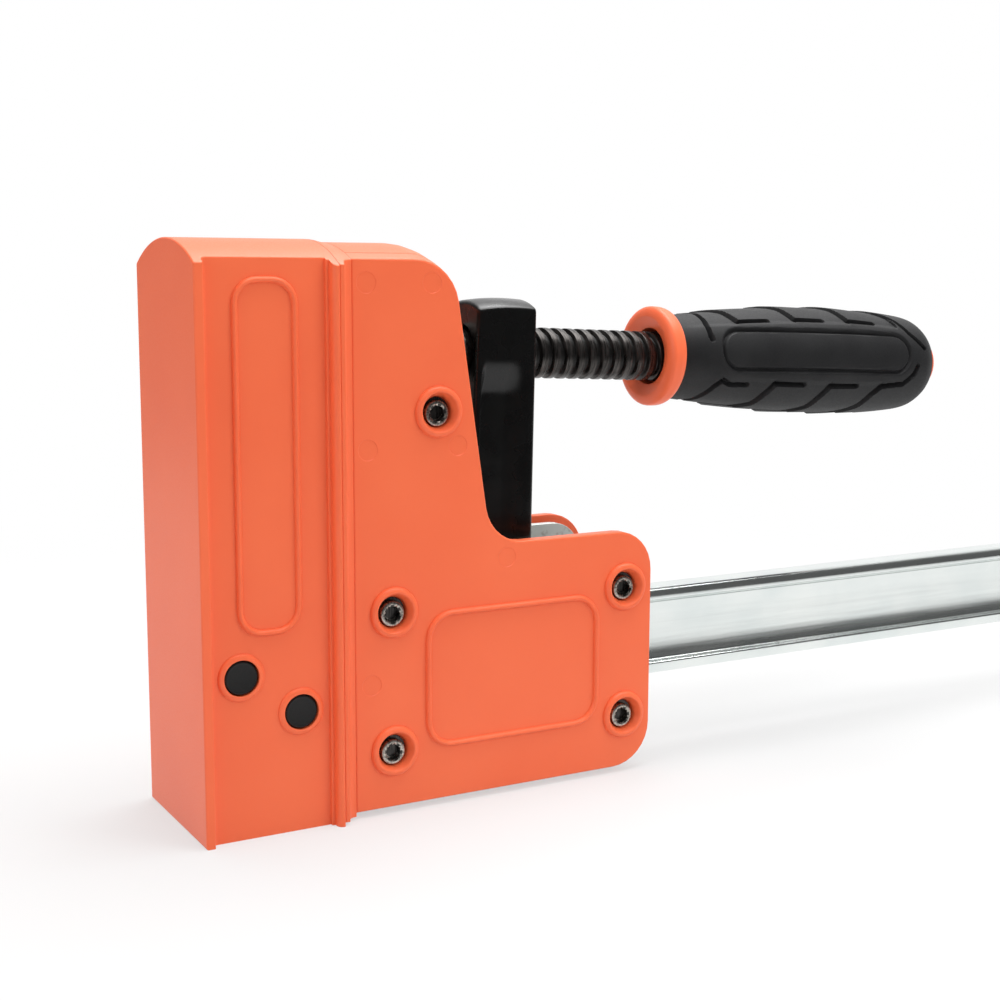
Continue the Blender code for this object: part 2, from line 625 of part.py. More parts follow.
def slope_x(z, inset=0):
    """X of the covers' sloping back edge at height z."""
    top = arch_height(WALL_HALF, JAW_APEX_Z, JAW_ARCH_RADIUS)
    run = (COVER_STEP_LENGTH - COVER_TOP_LENGTH) / (top - COVER_STEP_Z)
    return COVER_START_X + COVER_TOP_LENGTH + (top - z) * run - inset


def jaw_outline(top, inset=0, start=COVER_START_X):
    """Side outline of the sliding jaw behind its face plate."""
    step = COVER_STEP_Z - inset
    rear = JAW_REAR_X - inset
    base = JAW_BASE_Z + inset
    return rounded([
        (start, base, 0), (rear, base, JAW_REAR_BASE_RADIUS - inset),
        (rear, step, JAW_REAR_TOP_RADIUS - inset),
        (slope_x(step, inset), step, JAW_VALLEY_RADIUS + inset),
        (slope_x(top, inset), top, JAW_TOP_RADIUS - inset), (start, top, 0),
    ])


def boss_profile(sign):
    top = WALL_HALF + BOSS_HEIGHT
    inner = PLATE_OUTER_HALF + GAP
    return [(sign * inner, 0), (sign * inner, BOSS_RADIUS), (sign * (top - BOSS_ROUND), BOSS_RADIUS),
            (sign * top, BOSS_RADIUS - BOSS_ROUND), (sign * top, 0)]


def boss_hole_profile(sign):
    """Counterbore for the head or nut, with a floor that the screw clamps."""
    end = WALL_HALF + BOSS_HEIGHT + OVERRUN
    inner = PLATE_OUTER_HALF - OVERRUN
    floor = BOSS_FLOOR_HALF
    return [(sign * inner, 0), (sign * inner, SCREW_BORE_RADIUS), (sign * floor, SCREW_BORE_RADIUS),
            (sign * floor, BOSS_HOLE_RADIUS), (sign * end, BOSS_HOLE_RADIUS), (sign * end, 0)]


def build_cover(frame, sign):
    """Moulded half of the sliding jaw: flat side, arched top edge, screw bosses, inner ribs."""
    rings = []
    for y in (sign * WALL_HALF, sign * SEAM_HALF):
        top = arch_height(y, JAW_APEX_Z, JAW_ARCH_RADIUS)
        rings.append([(a, y, b) for a, b in jaw_outline(top)])
    name = "jaw_cover" + side_name(sign)
    cover = make(name, loft(rings), "orange", frame)
    bosses = bmesh.new()
    for x, z in JAW_SCREWS.values():
        turned(boss_profile(sign), "Y", (x, 0, z), form=bosses)
    join(cover, name + "_bosses", bosses)
    ribs = bmesh.new()
    inner, outer = sorted((sign * (PLATE_OUTER_HALF + GAP), sign * (SEAM_HALF + GAP)))
    half = COVER_RIB_THICKNESS / 2
    for z in (BAR_CENTRE_Z - half, COVER_STEP_Z):
        box((COVER_START_X + PLATE_INSET, inner, z - half),
            (COVER_STEP_X, outer, z + half), ribs)
    join(cover, name + "_ribs", ribs)
    holes = bmesh.new()
    for x, z in JAW_SCREWS.values():
        turned(boss_hole_profile(sign), "Y", (x, 0, z), form=holes)
    cut(cover, name + "_holes", holes)
    if sign < 0:
        middle = BAR_CENTRE_Z - LABEL_DROP
        label = (FRONT_SCREW_X + LABEL_FROM_FRONT_SCREW, REAR_SCREW_X - LABEL_FROM_REAR_SCREW,
                 middle - LABEL_HEIGHT / 2, middle + LABEL_HEIGHT / 2, LABEL_RADIUS)
        join(cover, "label_frame", frame_bead(label, sign))


def build_jaw_face(frame):
    """Face plate, whose arch falls from the fixed jaw's height to that of the covers."""
    start = JAW_FACE_X
    end = COVER_START_X - GAP
    flange_end = start + JAW_FLANGE_LENGTH
    stations = ((start, JAW_FLANGE_HALF - FACE_EDGE), (start + FACE_EDGE, JAW_FLANGE_HALF),
                (flange_end - FACE_EDGE, JAW_FLANGE_HALF),
                (flange_end, FACE_COLLAR_HALF), (end - FACE_EDGE, FACE_COLLAR_HALF),
                (end, FACE_COLLAR_HALF - FACE_EDGE))
    rings = []
    for x, half in stations:
        share = (x - start) / JAW_FACE_LENGTH
        share *= share * (3 - 2 * share)
        rings.append(arched_ring(x, half, JAW_FACE_BASE_Z, FIXED_APEX_Z - FIXED_APEX_RISE * share,
                                 FIXED_ARCH_RADIUS + (JAW_ARCH_RADIUS - FIXED_ARCH_RADIUS) * share))
    face = make("jaw_face", loft(rings), "orange", frame)
    cut(face, "jaw_face_window", bar_window(start - OVERRUN, end + OVERRUN, 2 * GAP))


def build_spacer(frame):
    """Middle piece between the covers: a cap under the arch and a leg between the plates."""
    wide = SEAM_HALF - GAP
    leg_end = COVER_START_X + SPACER_LENGTH
    low = plate_top_z() + GAP
    rings = []
    for step in range(ARCH_STEPS + 1):
        y = wide * (1 - 2 * step / ARCH_STEPS)
        top = arch_height(y, JAW_APEX_Z, JAW_ARCH_RADIUS)
        outline = rounded([(COVER_START_X, low, 0), (slope_x(low), low, 0),
                           (slope_x(top), top, JAW_TOP_RADIUS), (COVER_START_X, top, 0)])
        rings.append([(a, y, b) for a, b in outline])
    spacer = make("jaw_spacer", loft(rings), "orange", frame)
    base = BAR_CENTRE_Z + GUIDE_OFFSET + SLEEVE_RADIUS + SPACER_BASE_GAP
    join(spacer, "spacer_leg", box((COVER_START_X, -INNER_HALF, base),
                                   (leg_end, INNER_HALF, low + OVERRUN)))


def plate_top_z():
    return arch_height(WALL_HALF, JAW_APEX_Z, JAW_ARCH_RADIUS) - PLATE_TOP_DROP


def build_plate(frame, sign):
    """Zinc-plated side plate with five screw holes and the slot that guides the arm's pin."""
    outline = jaw_outline(plate_top_z(), PLATE_INSET)
    inner, outer = sorted((sign * PLATE_INNER_HALF, sign * PLATE_OUTER_HALF))
    name = "side_plate" + side_name(sign)
    plate = make(name, side_prism(outline, inner, outer), "zinc", frame)
    holes = cross_bores(JAW_SCREWS.values(), WALL_HALF, SCREW_BORE_RADIUS)
    slot = obround(PIVOT_X, PIVOT_X + ARM_FEED, PIVOT_Z, PIVOT_RADIUS + GAP)
    side_prism(slot, inner - OVERRUN, outer + OVERRUN, holes)
    cut(plate, name + "_holes", holes)


def build_fasteners(frame):
    """Five low-head socket screws with washers, and nuts in the far cover's bosses."""
    face = WALL_HALF - SCREW_HEAD_RECESS
    washer = BOSS_FLOOR_HALF + STACK_GAP
    head = washer + WASHER_THICKNESS + STACK_GAP
    nut_end = head + NUT_THICKNESS
    across = SCREW_SOCKET_ACROSS
    rings = [round_ring(nut_end, SCREW_RADIUS), round_ring(-head, SCREW_RADIUS),
             round_ring(-head, SCREW_HEAD_RADIUS), round_ring(SMALL_EDGE - face, SCREW_HEAD_RADIUS),
             round_ring(-face, SCREW_HEAD_RADIUS - SMALL_EDGE), hexagon_ring(-face, across),
             hexagon_ring(SCREW_SOCKET_DEPTH - face, across)]
    make_copies(JAW_SCREWS, "{}_screw", loft(rings), "dark_steel", frame)
    for sign in (-1, 1):
        start, end = sign * washer, sign * (washer + WASHER_THICKNESS)
        rings = [round_ring(start, SCREW_BORE_RADIUS), round_ring(start, WASHER_RADIUS),
                 round_ring(end, WASHER_RADIUS), round_ring(end, SCREW_BORE_RADIUS)]
        make_copies(JAW_SCREWS, "{}_washer" + side_name(sign), loft(rings, closed=True),
                    "zinc", frame)
    rings = [round_ring(head, SCREW_BORE_RADIUS), hexagon_ring(head, NUT_ACROSS),
             hexagon_ring(nut_end, NUT_ACROSS), round_ring(nut_end, SCREW_BORE_RADIUS)]
    make_copies(JAW_SCREWS, "{}_nut", loft(rings, closed=True), "zinc", frame)


def build_guides(frame):
    """Sleeves on the four lower screws, which ride on the bar's edges."""
    sleeve = tube(-INNER_HALF, INNER_HALF, SCREW_BORE_RADIUS, SLEEVE_RADIUS)
    make_copies(GUIDE_SCREWS, "{}_sleeve", turned(sleeve, "Y", closed=True), "dark_steel", frame)


def build_thrust_block(frame):
    """Steel block that takes the spindle's thrust, held by the top screw."""
    start, face = BLOCK_START_X, BLOCK_START_X + BLOCK_LENGTH
    base, top = JAW_SCREWS["top"][1] - BLOCK_BELOW_SCREW, plate_top_z()
    outline = rounded([(start, base, BLOCK_EDGE), (face, base, BLOCK_EDGE),
                       (face, top, 0), (start, top, 0)])
    block = make("thrust_block", side_prism(outline, -INNER_HALF, INNER_HALF), "dark_steel", frame)
    cut(block, "thrust_block_bore",
        cross_bores([JAW_SCREWS["top"]], PLATE_OUTER_HALF, SCREW_BORE_RADIUS))


def build_arm(frame):
    """Forged arm: arched top, pocketed sides, threaded bore, and a window round the bar."""
    half = ARM_DEPTH / 2
    spindle = SPINDLE_ABOVE_PIVOT
    top = spindle + ARM_ABOVE_SPINDLE
    bar = -PIVOT_ABOVE_BAR - BAR_HALF
    window = BAR_HALF + WINDOW_PLAY
    base = bar - window - ARM_FOOT_DEPTH
    crest = top + ARM_CROWN
    outline = rounded([(-half, base, ARM_FOOT_RADIUS), (half, base, ARM_FOOT_RADIUS),
                       (half, crest, ARM_TOP_RADIUS), (-half, crest, ARM_TOP_RADIUS)])
    arm = make("clamp_arm", side_prism(outline, -ARM_HALF, ARM_HALF), "black_gloss", frame)
    bevel = arm.modifiers.new("arm_edges", 'BEVEL')
    bevel.width = ARM_EDGE
    bevel.segments = 2
    bevel.limit_method = 'ANGLE'
    bevel.angle_limit = radians(60.0)
    reach = half + OVERRUN
    arch = (ARM_HALF ** 2 + ARM_CROWN ** 2) / (2 * ARM_CROWN)
    combine(arm, "arm_crown", loft([arched_ring(x, ARM_HALF + OVERRUN, base - OVERRUN, crest, arch)
                                    for x in (-reach, reach)]), 'INTERSECT')
    pockets = bmesh.new()
    pocket = rounded_rectangle(POCKET_FRONT_RIM - half, half - POCKET_REAR_RIM,
                               POCKET_BASE_ABOVE_PIVOT, spindle - POCKET_TOP_BELOW_SPINDLE,
                               POCKET_RADIUS)
    for sign in (-1, 1):
        low, high = sorted((sign * (ARM_HALF - POCKET_DEPTH), sign * (ARM_HALF + OVERRUN)))
        side_prism(pocket, low, high, pockets)
    cut(arm, "arm_pockets", pockets)
    bore = [(-reach, 0), (-reach, THREAD_RADIUS + GAP), (reach, THREAD_RADIUS + GAP), (reach, 0)]
    cut(arm, "arm_thread_bore", turned(bore, "X", (0, 0, spindle)))
    side = BAR_THICKNESS / 2 + WINDOW_SIDE_GAP
    cut(arm, "arm_window", box((-reach, -side, bar - window), (reach, side, bar + window)))
    cut(arm, "arm_pivot_bore", cross_bores([(0, 0)], PLATE_OUTER_HALF, PIVOT_RADIUS + GAP))


def build_pivot_pin(frame):
    make("pivot_pin", pin(PLATE_OUTER_HALF, PIVOT_RADIUS), "dark_steel", frame)


def thread_rings(form, start_s):
    """Right-hand helical thread between two plain rings of the root radius, which are returned."""
    count = THREAD_TURN_SEGMENTS
    radii = (THREAD_ROOT_RADIUS, THREAD_RADIUS, THREAD_RADIUS, THREAD_ROOT_RADIUS)
    rows = []
    for i in range(THREAD_TURNS * count + 1):
        climb = start_s + THREAD_PITCH * i / count
        rows.append([form.verts.new(around(climb + THREAD_PITCH * share, radius, i / count))
                     for share, radius in zip(THREAD_SHARES, radii)])
    for i, (row, following) in enumerate(zip(rows, rows[1:])):
        for j in range(len(radii) - 1):
            form.faces.new((row[j], row[j + 1], following[j + 1], following[j]))
        if i + count + 1 < len(rows):
            form.faces.new((row[-1], rows[i + count][0], rows[i + count + 1][0], following[-1]))
    first = ring_around(form, start_s - THREAD_PITCH / 2, THREAD_ROOT_RADIUS, count)
    last_row = len(rows) - 1 - count
    end_s = start_s + THREAD_PITCH * (THREAD_TURNS + 1)
    last = ring_around(form, end_s + THREAD_PITCH / 2, THREAD_ROOT_RADIUS, count)
    for i in range(count):
        j = (i + 1) % count
        start_face = [first[i], first[j], rows[i + 1][0], rows[i][0]]
        if j == 0:
            start_face[2:2] = [rows[0][0], rows[0][-1]]
        form.faces.new(start_face)
        end_face = [rows[last_row + i][-1], rows[last_row + i + 1][-1], last[j], last[i]]
        if i == 0:
            end_face += [rows[-1][-1], rows[-1][0]]
        form.faces.new(end_face)
    form.faces.new(rows[0])
    form.faces.new(rows[-1])
    return first, last, end_s + THREAD_PITCH / 2


def around(s, radius, turns):
    """Point of a right-hand helix about the X axis, counted in turns from the top."""
    return (s, -radius * sin(2 * pi * turns), radius * cos(2 * pi * turns))


def ring_around(form, s, radius, count):
    return [form.verts.new(around(s, radius, i / count)) for i in range(count)]


def extend(form, ring, profile):
    """Carry a ring on through (s, radius) stations and close it on the axis."""
    count = len(ring)
    for s, radius in profile:
        fresh = ring_around(form, s, radius, count)
        for i in range(count):
            j = (i + 1) % count
            form.faces.new((ring[i], ring[j], fresh[j], fresh[i]))
        ring = fresh
    form.faces.new(ring)


def build_spindle(frame):
    form = bmesh.new()
    first, last, shank_s = thread_rings(form, THREAD_START_S)
    tip = PAD_START_S - PAD_LIP - GAP
    neck = PAD_START_S + GAP
    extend(form, first, [(neck + SMALL_EDGE, THREAD_ROOT_RADIUS), (neck, THREAD_ROOT_RADIUS - SMALL_EDGE),
                         (neck, TIP_NECK_RADIUS), (tip, TIP_NECK_RADIUS), (tip, TIP_RADIUS),
                         (tip - TIP_LENGTH + SMALL_EDGE, TIP_RADIUS),
                         (tip - TIP_LENGTH, TIP_RADIUS - SMALL_EDGE)])
    extend(form, last, [(shank_s + SMALL_EDGE, SHANK_RADIUS - SMALL_EDGE),
                        (shank_s + 2 * SMALL_EDGE, SHANK_RADIUS),
                        (SHANK_END_S - SMALL_EDGE, SHANK_RADIUS),
                        (SHANK_END_S, SHANK_RADIUS - SMALL_EDGE)])
    spindle = make("spindle", form, "black_oxide", frame)
    cut(spindle, "spindle_pin_bore",
        cross_bores([(HANDLE_PIN_S, 0)], HANDLE_TUBE_RADIUS, HANDLE_PIN_RADIUS + GAP))


def build_pad(frame):
    """Swivel pad, swaged round the spindle's button tip."""
    start = PAD_START_S
    face = start - PAD_LENGTH
    seat = start - PAD_LIP
    floor = face + PAD_FACE_THICKNESS
    edge = SMALL_EDGE
    profile = [(face, 0), (face, PAD_RADIUS - edge), (face + edge, PAD_RADIUS),
               (seat, PAD_RADIUS), (start, PAD_RADIUS - PAD_LIP), (start, TIP_NECK_RADIUS + GAP),
               (seat, TIP_NECK_RADIUS + GAP), (seat, TIP_RADIUS + GAP), (floor, TIP_RADIUS + GAP),
               (floor, 0)]
    make("swivel_pad", turned(profile, "X"), "dark_steel", frame)


def build_handle(frame):
    """Orange core with its collar, black rubber grip over it, and the pin that drives it."""
    collar = COLLAR_START_S
    collar_end = collar + COLLAR_LENGTH
    end = HANDLE_END_S
    step = end - HANDLE_END_LENGTH
    bore = SHANK_RADIUS + GAP
    rim = COLLAR_RADIUS - COLLAR_NOSE_HEIGHT
    profile = [(SHANK_END_S + GAP, 0), (SHANK_END_S + GAP, bore), (collar + COLLAR_DISH, bore),
               (collar, rim)]
    for step_number in range(ARC_STEPS):
        turn = pi / 2 * (step_number + 1) / ARC_STEPS
        profile.append((collar + COLLAR_NOSE_LENGTH * (1 - cos(turn)),
                        rim + COLLAR_NOSE_HEIGHT * sin(turn)))
    profile += [(collar_end, COLLAR_RADIUS - COLLAR_BACK_DROP),
                (collar_end, HANDLE_TUBE_RADIUS), (step, HANDLE_TUBE_RADIUS),
                (step, HANDLE_END_RADIUS), (end - HANDLE_CROWN, HANDLE_END_RADIUS),
                (end, HANDLE_END_RADIUS / 2), (end, 0)]
    core = make("handle_core", turned(profile, "X", segments=FINE_SEGMENTS), "orange", frame)
    cut(core, "handle_pin_bore",
        cross_bores([(HANDLE_PIN_S, 0)], COLLAR_RADIUS, HANDLE_PIN_RADIUS + GAP))
    driver = make("handle_pin", pin(HANDLE_TUBE_RADIUS - SMALL_EDGE, HANDLE_PIN_RADIUS),
                  "dark_steel", frame)
    driver.location.x = HANDLE_PIN_S
    start = collar_end + GAP
    length = end - GRIP_END_INSET - start
    outer = [(start + length * share, GRIP_RADIUS * r)
             for share, r in zip(GRIP_LENGTH_SHARES, GRIP_RADIUS_SHARES)]
    inner = [(outer[-1][0], HANDLE_END_RADIUS + GAP), (step + GAP, HANDLE_END_RADIUS + GAP),
             (step + GAP, HANDLE_TUBE_RADIUS + GAP), (start, HANDLE_TUBE_RADIUS + GAP)]
    make("grip", turned(outer + inner, "X", closed=True, segments=FINE_SEGMENTS), "rubber", frame)


def build_foot(frame):
    """End foot that stops the sliding jaw and carries the bar's far end."""
    outline = rounded_rectangle(-FOOT_HALF, FOOT_HALF, 0, BAR_TOP_Z + FOOT_ABOVE_BAR, FOOT_RADIUS)
    end = FOOT_START_X + FOOT_LENGTH
    edge = FACE_EDGE
    centre_z = BAR_CENTRE_Z

    def ring(x, shrink):
        keep = 1 - shrink / FOOT_HALF
        return [(x, y * keep, centre_z + (z - centre_z) * keep if z > centre_z else z)
                for y, z in outline]

    foot = make("bar_end_foot", loft([ring(FOOT_START_X, edge), ring(FOOT_START_X + edge, 0),
                                      ring(end - edge, 0), ring(end, edge)]),
                "black_plastic", frame)
    cut(foot, "foot_bar_socket", bar_window(FOOT_START_X - OVERRUN, BAR_END_X + GAP, GAP))
    cut(foot, "foot_pin_bore",
        cross_bores([FOOT_PIN_PLACE], FOOT_HALF + OVERRUN, FOOT_PIN_RADIUS + GAP))
    foot_pin = make("foot_pin", pin(FOOT_HALF - FOOT_PIN_INSET, FOOT_PIN_RADIUS),
                    "dark_steel", frame)
    foot_pin.location.x, foot_pin.location.z = FOOT_PIN_PLACE


def main():
    clear_scene()
    base = empty("clamp_frame", None, (-FIXED_JAW_LENGTH / 2, 0, 0), 0)
    build_bar(base)
    build_fixed_jaw(base)
    build_foot(base)
    jaw = empty("sliding_jaw_frame", base, (0, 0, 0), 0)
    build_jaw_face(jaw)
    for sign in (-1, 1):
        build_cover(jaw, sign)
        build_plate(jaw, sign)
    build_spacer(jaw)
    build_fasteners(jaw)
    build_guides(jaw)
    build_thrust_block(jaw)
    carrier = empty("pivot_frame", jaw, (PIVOT_X, 0, PIVOT_Z), 0)
    build_pivot_pin(carrier)
    arm = empty("arm_frame", carrier, (0, 0, 0), ARM_TILT)
    build_arm(arm)
    axis = empty("spindle_axis", arm, (0, 0, SPINDLE_ABOVE_PIVOT), 0)
    build_pad(axis)
    build_spindle(axis)
    build_handle(axis)


main()
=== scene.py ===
"""Looks of a parallel clamp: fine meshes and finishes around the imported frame, light and camera.

Metres, +Z up, in the frame's own axes. +X runs along the bar from the fixed jaw, and the side at -Y,
which the photograph shows, is called near. Places come from the frame, small sizes are named below.
"""

import json
from math import atan2, cos, hypot, pi, radians, sin, sqrt, tan

import bmesh
import bpy
import numpy as np
from mathutils import Matrix, Vector


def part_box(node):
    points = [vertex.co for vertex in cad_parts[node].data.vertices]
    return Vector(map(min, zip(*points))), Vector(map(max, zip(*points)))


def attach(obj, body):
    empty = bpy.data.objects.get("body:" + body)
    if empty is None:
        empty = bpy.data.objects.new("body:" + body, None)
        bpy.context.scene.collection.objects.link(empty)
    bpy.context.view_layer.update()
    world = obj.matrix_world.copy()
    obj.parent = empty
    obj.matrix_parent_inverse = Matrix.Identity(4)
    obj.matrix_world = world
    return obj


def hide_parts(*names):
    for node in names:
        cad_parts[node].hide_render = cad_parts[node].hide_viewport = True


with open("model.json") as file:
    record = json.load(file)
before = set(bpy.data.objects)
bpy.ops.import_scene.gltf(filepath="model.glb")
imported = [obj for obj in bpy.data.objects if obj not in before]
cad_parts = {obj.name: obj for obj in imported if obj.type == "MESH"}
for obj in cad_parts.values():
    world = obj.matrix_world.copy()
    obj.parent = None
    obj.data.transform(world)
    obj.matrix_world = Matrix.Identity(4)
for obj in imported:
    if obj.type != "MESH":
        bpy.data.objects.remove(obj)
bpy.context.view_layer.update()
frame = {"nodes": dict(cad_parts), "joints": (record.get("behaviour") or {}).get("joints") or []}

MM = 0.001

# Fineness
ARC_STEPS = 8                      # steps in a quarter turn of an outline's corner
EDGE_STEPS = 4                     # steps in a quarter turn of a broken edge
ARCH_STEPS = 40                    # steps across half of the jaws' arched top
ROUND_SEGMENTS = 64
WELD = 0.0005 * MM
SHARP_ANGLE = radians(32.0)
OVERRUN = 1.0 * MM
GAP = 0.3 * MM
SKIRT = 0.02 * MM                  # how far a moulded fillet starts under the wall that it leaves

JOINTS = {joint["name"]: joint for joint in frame["joints"]}

# Both jaws
WALL_HALF = 20.2 * MM
FIXED_APEX_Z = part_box("fixed_jaw_housing")[1].z
FIXED_ARCH_RADIUS = 44.2 * MM
JAW_APEX_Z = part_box("jaw_spacer")[1].z
JAW_ARCH_RADIUS = 49.0 * MM
ARCH_EDGE = 0.5 * MM
BACK_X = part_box("fixed_jaw_housing")[0].x
CAP_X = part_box("fixed_jaw_face")[0].x
JAW_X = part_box("jaw_face")[0].x
JAW_END_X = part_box("jaw_face")[1].x
COVER_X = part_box("jaw_cover_near")[0].x
COVER_REAR_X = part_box("jaw_cover_near")[1].x
COVER_BASE_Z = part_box("jaw_cover_near")[0].z

# Fixed jaw
BACK_BEAD_HALF = -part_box("fixed_jaw_housing")[0].y
BACK_BEAD_LENGTH = 2.4 * MM
BACK_EDGE = 0.5 * MM
BEAD_EDGE = 0.3 * MM
BEAD_COVE = 1.5 * MM
PLASTIC_WALL = 3.0 * MM
FLOOR_THICKNESS = 3.5 * MM
CLOSING_GAP = 0.08 * MM            # each face plate's advance into the gap between the jaws
COLLAR_HALF = 21.2 * MM
COLLAR_LENGTH = 0.8 * MM
COLLAR_EDGE = 0.25 * MM
FLANGE_HALF = -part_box("fixed_jaw_face")[0].y
FLANGE_ROUND_LENGTH = 1.4 * MM
FLANGE_ROUND_RISE = 1.9 * MM
FLANGE_EDGE = 0.35 * MM

# Raised frames, bosses and plugs
FRAME_WIDTH = 1.6 * MM
FRAME_HEIGHT = 1.10 * MM
FRAME_SIDE = 0.5                   # power of the bead's sine section, which steepens its sides
FRAME_STEPS = 14
PILL_WIDTH = 17.1 * MM
PILL_BASE_Z = 51.75 * MM
PILL_TOP_Z = 140.15 * MM
PILL_RADIUS = 6.65 * MM
LABEL_RADIUS = 7.85 * MM
LABEL_LOW = (43.25 * MM, 15.75 * MM)     # X and Z
LABEL_HIGH = (97.35 * MM, 53.05 * MM)
PLUG_BOSS_RADIUS = 6.1 * MM
PLUG_BOSS_HEIGHT = 0.8 * MM
PLUG_HOLE_RADIUS = 4.6 * MM
BOSS_RADIUS = 6.75 * MM            # at the foot of its rounded side
BOSS_CREST_RADIUS = 5.5 * MM
BOSS_HEIGHT = 1.3 * MM
BOSS_MOUTH_RADIUS = 5.05 * MM      # where the crest runs into the tapered counterbore
BOSS_HOLE_RADIUS = 4.1 * MM        # at the foot of the counterbore's taper, near side
NUT_HOLE_RADIUS = 4.7 * MM         # and far side
WASHER_RADIUS = 3.85 * MM          # of the near washers, which lie under the heads
BOSS_HOLE_DEPTH = 2.2 * MM         # of the taper, below the crest
BOSS_MOUTH_TURN = 160              # degrees, where the crest's inner rounding meets the taper
BOSS_FLOOR_HALF = 17.65 * MM
BOSS_SEAT_HALF = 13.7 * MM
MARK_RADIUS = 2.75 * MM            # shallow round prints that the mould's ejector pins leave
MARK_EDGE = 0.12 * MM
MARK_DEPTH = 0.13 * MM
MARK_PLACES = [(x * MM, z * MM) for x, z in (
    (27.0, 138.6), (45.5, 138.6), (27.1, 96.5), (52.9, 96.5), (67.8, 65.6), (27.7, 35.2))]

# Sliding jaw
JAW_FLANGE_HALF = -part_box("jaw_face")[0].y
JAW_CREST_LENGTH = 1.4 * MM
JAW_COVE_RISE = 2.4 * MM
COVER_SEAM_HALF = 16.55 * MM
COVER_EDGE = 0.55 * MM
COVER_TOP_X = 51.8 * MM            # where the top would meet the sloping back, unrounded
COVER_STEP = (63.0 * MM, 69.6 * MM)
COVER_TOP_RADIUS = 12.8 * MM
COVER_VALLEY_RADIUS = 11.5 * MM
COVER_REAR_TOP_RADIUS = 11.5 * MM
COVER_REAR_BASE_RADIUS = 12.0 * MM
SEAM_CHAMFER = 0.18 * MM
BORE_RADIUS = 2.3 * MM
FACE_SEAM = 0.14 * MM              # fine seam between the face plate and the covers


def new_material(name, colour, roughness, metallic=0.0, **sockets):
    """Principled material whose constants sit on the shader's own sockets."""
    material = bpy.data.materials.new(name)
    material.use_nodes = True
    shader = material.node_tree.nodes["Principled BSDF"]
    shader.inputs["Base Color"].default_value = (*colour, 1.0)
    shader.inputs["Roughness"].default_value = roughness
    shader.inputs["Metallic"].default_value = metallic
    for socket, value in sockets.items():
        shader.inputs[socket.replace("_", " ")].default_value = value
    material.diffuse_color = (*colour, 1.0)
    return material


def node(tree, kind, links=(), **values):
    """Add a node, set its properties and inputs by name, and link its first inputs."""
    made = tree.nodes.new(kind)
    for name, value in values.items():
        socket = name.replace("_", " ").title()
        if socket in made.inputs:
            made.inputs[socket].default_value = value
        else:
            setattr(made, name, value)
    for source, socket in zip(links, made.inputs):
        tree.links.new(source, socket)
    return made


def noise(tree, scale, detail, stretch=(1.0, 1.0, 1.0)):
    """Noise in the piece's own coordinates, scale in features a metre, stretched by axis."""
    place = tree.nodes.new("ShaderNodeTexCoord").outputs["Object"]
    mapping = node(tree, "ShaderNodeMapping", [place], scale=stretch)
    texture = node(tree, "ShaderNodeTexNoise", [mapping.outputs["Vector"]], scale=scale, detail=detail)
    return texture.outputs["Fac"]


def spread(tree, value, low, high, start=0.3, end=0.7, curve='LINEAR'):
    """Map a value between start and end to a range."""
    remap = node(tree, "ShaderNodeMapRange", [value], interpolation_type=curve,
                 from_min=start, from_max=end, to_min=low, to_max=high)
    return remap.outputs["Result"]


def product(tree, first, second):
    return node(tree, "ShaderNodeMath", [first, second], operation='MULTIPLY').outputs[0]


def rough(material, roughness, *bumps):
    """Give a material its roughness and its bumps of (height, millimetres), the lowest first."""
    tree = material.node_tree
    shader = tree.nodes["Principled BSDF"]
    tree.links.new(roughness, shader.inputs["Roughness"])
    below = None
    for height, depth in bumps:
        bump = node(tree, "ShaderNodeBump", strength=1.0, distance=depth * MM)
        tree.links.new(height, bump.inputs["Height"])
        if below:
            tree.links.new(below, bump.inputs["Normal"])
        below = bump.outputs["Normal"]
    tree.links.new(below, shader.inputs["Normal"])
    return material


def dressed(material, tint, colours, roughness, *bumps):
    """Give a material a mix of two colours too."""
    tree = material.node_tree
    mix = node(tree, "ShaderNodeMix", [tint], data_type='RGBA')
    for socket, colour in zip((6, 7), colours):        # the node's two inputs for colours
        mix.inputs[socket].default_value = (*colour, 1.0)
    tree.links.new(mix.outputs[2], tree.nodes["Principled BSDF"].inputs["Base Color"])
    return rough(material, roughness, *bumps)


def orange_plastic():
    """Satin moulding with a spark-eroded grain, a soft sink and slight clouds of colour."""
    material = new_material("orange_plastic", (0.90, 0.152, 0.054), 0.42, Specular_IOR_Level=0.42)
    tree = material.node_tree
    clouds, grain, sink = noise(tree, 26.0, 2.0), noise(tree, 2600.0, 2.0), noise(tree, 60.0, 1.0)
    return dressed(material, spread(tree, clouds, 0.0, 1.0), ((0.885, 0.143, 0.050), (0.915, 0.161, 0.058)),
                   spread(tree, grain, 0.36, 0.47), (sink, 0.05), (grain, 0.012))


def zinc_steel():
    """Bright zinc plating over drawn steel: streaks along the bar and fine pits."""
    material = new_material("zinc_steel", (0.80, 0.84, 0.83), 0.24, 1.0)
    tree = material.node_tree
    streaks = noise(tree, 900.0, 4.0, (0.03, 1.0, 1.0))
    pits, stain = noise(tree, 1400.0, 4.0), noise(tree, 45.0, 4.0)
    return dressed(material, spread(tree, stain, 0.0, 1.0), ((0.76, 0.81, 0.80), (0.86, 0.89, 0.87)),
                   spread(tree, streaks, 0.15, 0.23), (streaks, 0.0025), (pits, 0.006))


def plate_zinc():
    """Dull zinc plating on the pressed side plates, with small dark stains."""
    material = new_material("plate_zinc", (0.60, 0.64, 0.61), 0.45, 0.6)
    tree = material.node_tree
    stains = noise(tree, 420.0, 5.0)
    return dressed(material, spread(tree, stains, 0.0, 1.0, 0.28, 0.42),
                   ((0.50, 0.50, 0.46), (0.74, 0.79, 0.76)), spread(tree, stains, 0.52, 0.42),
                   (stains, 0.01))


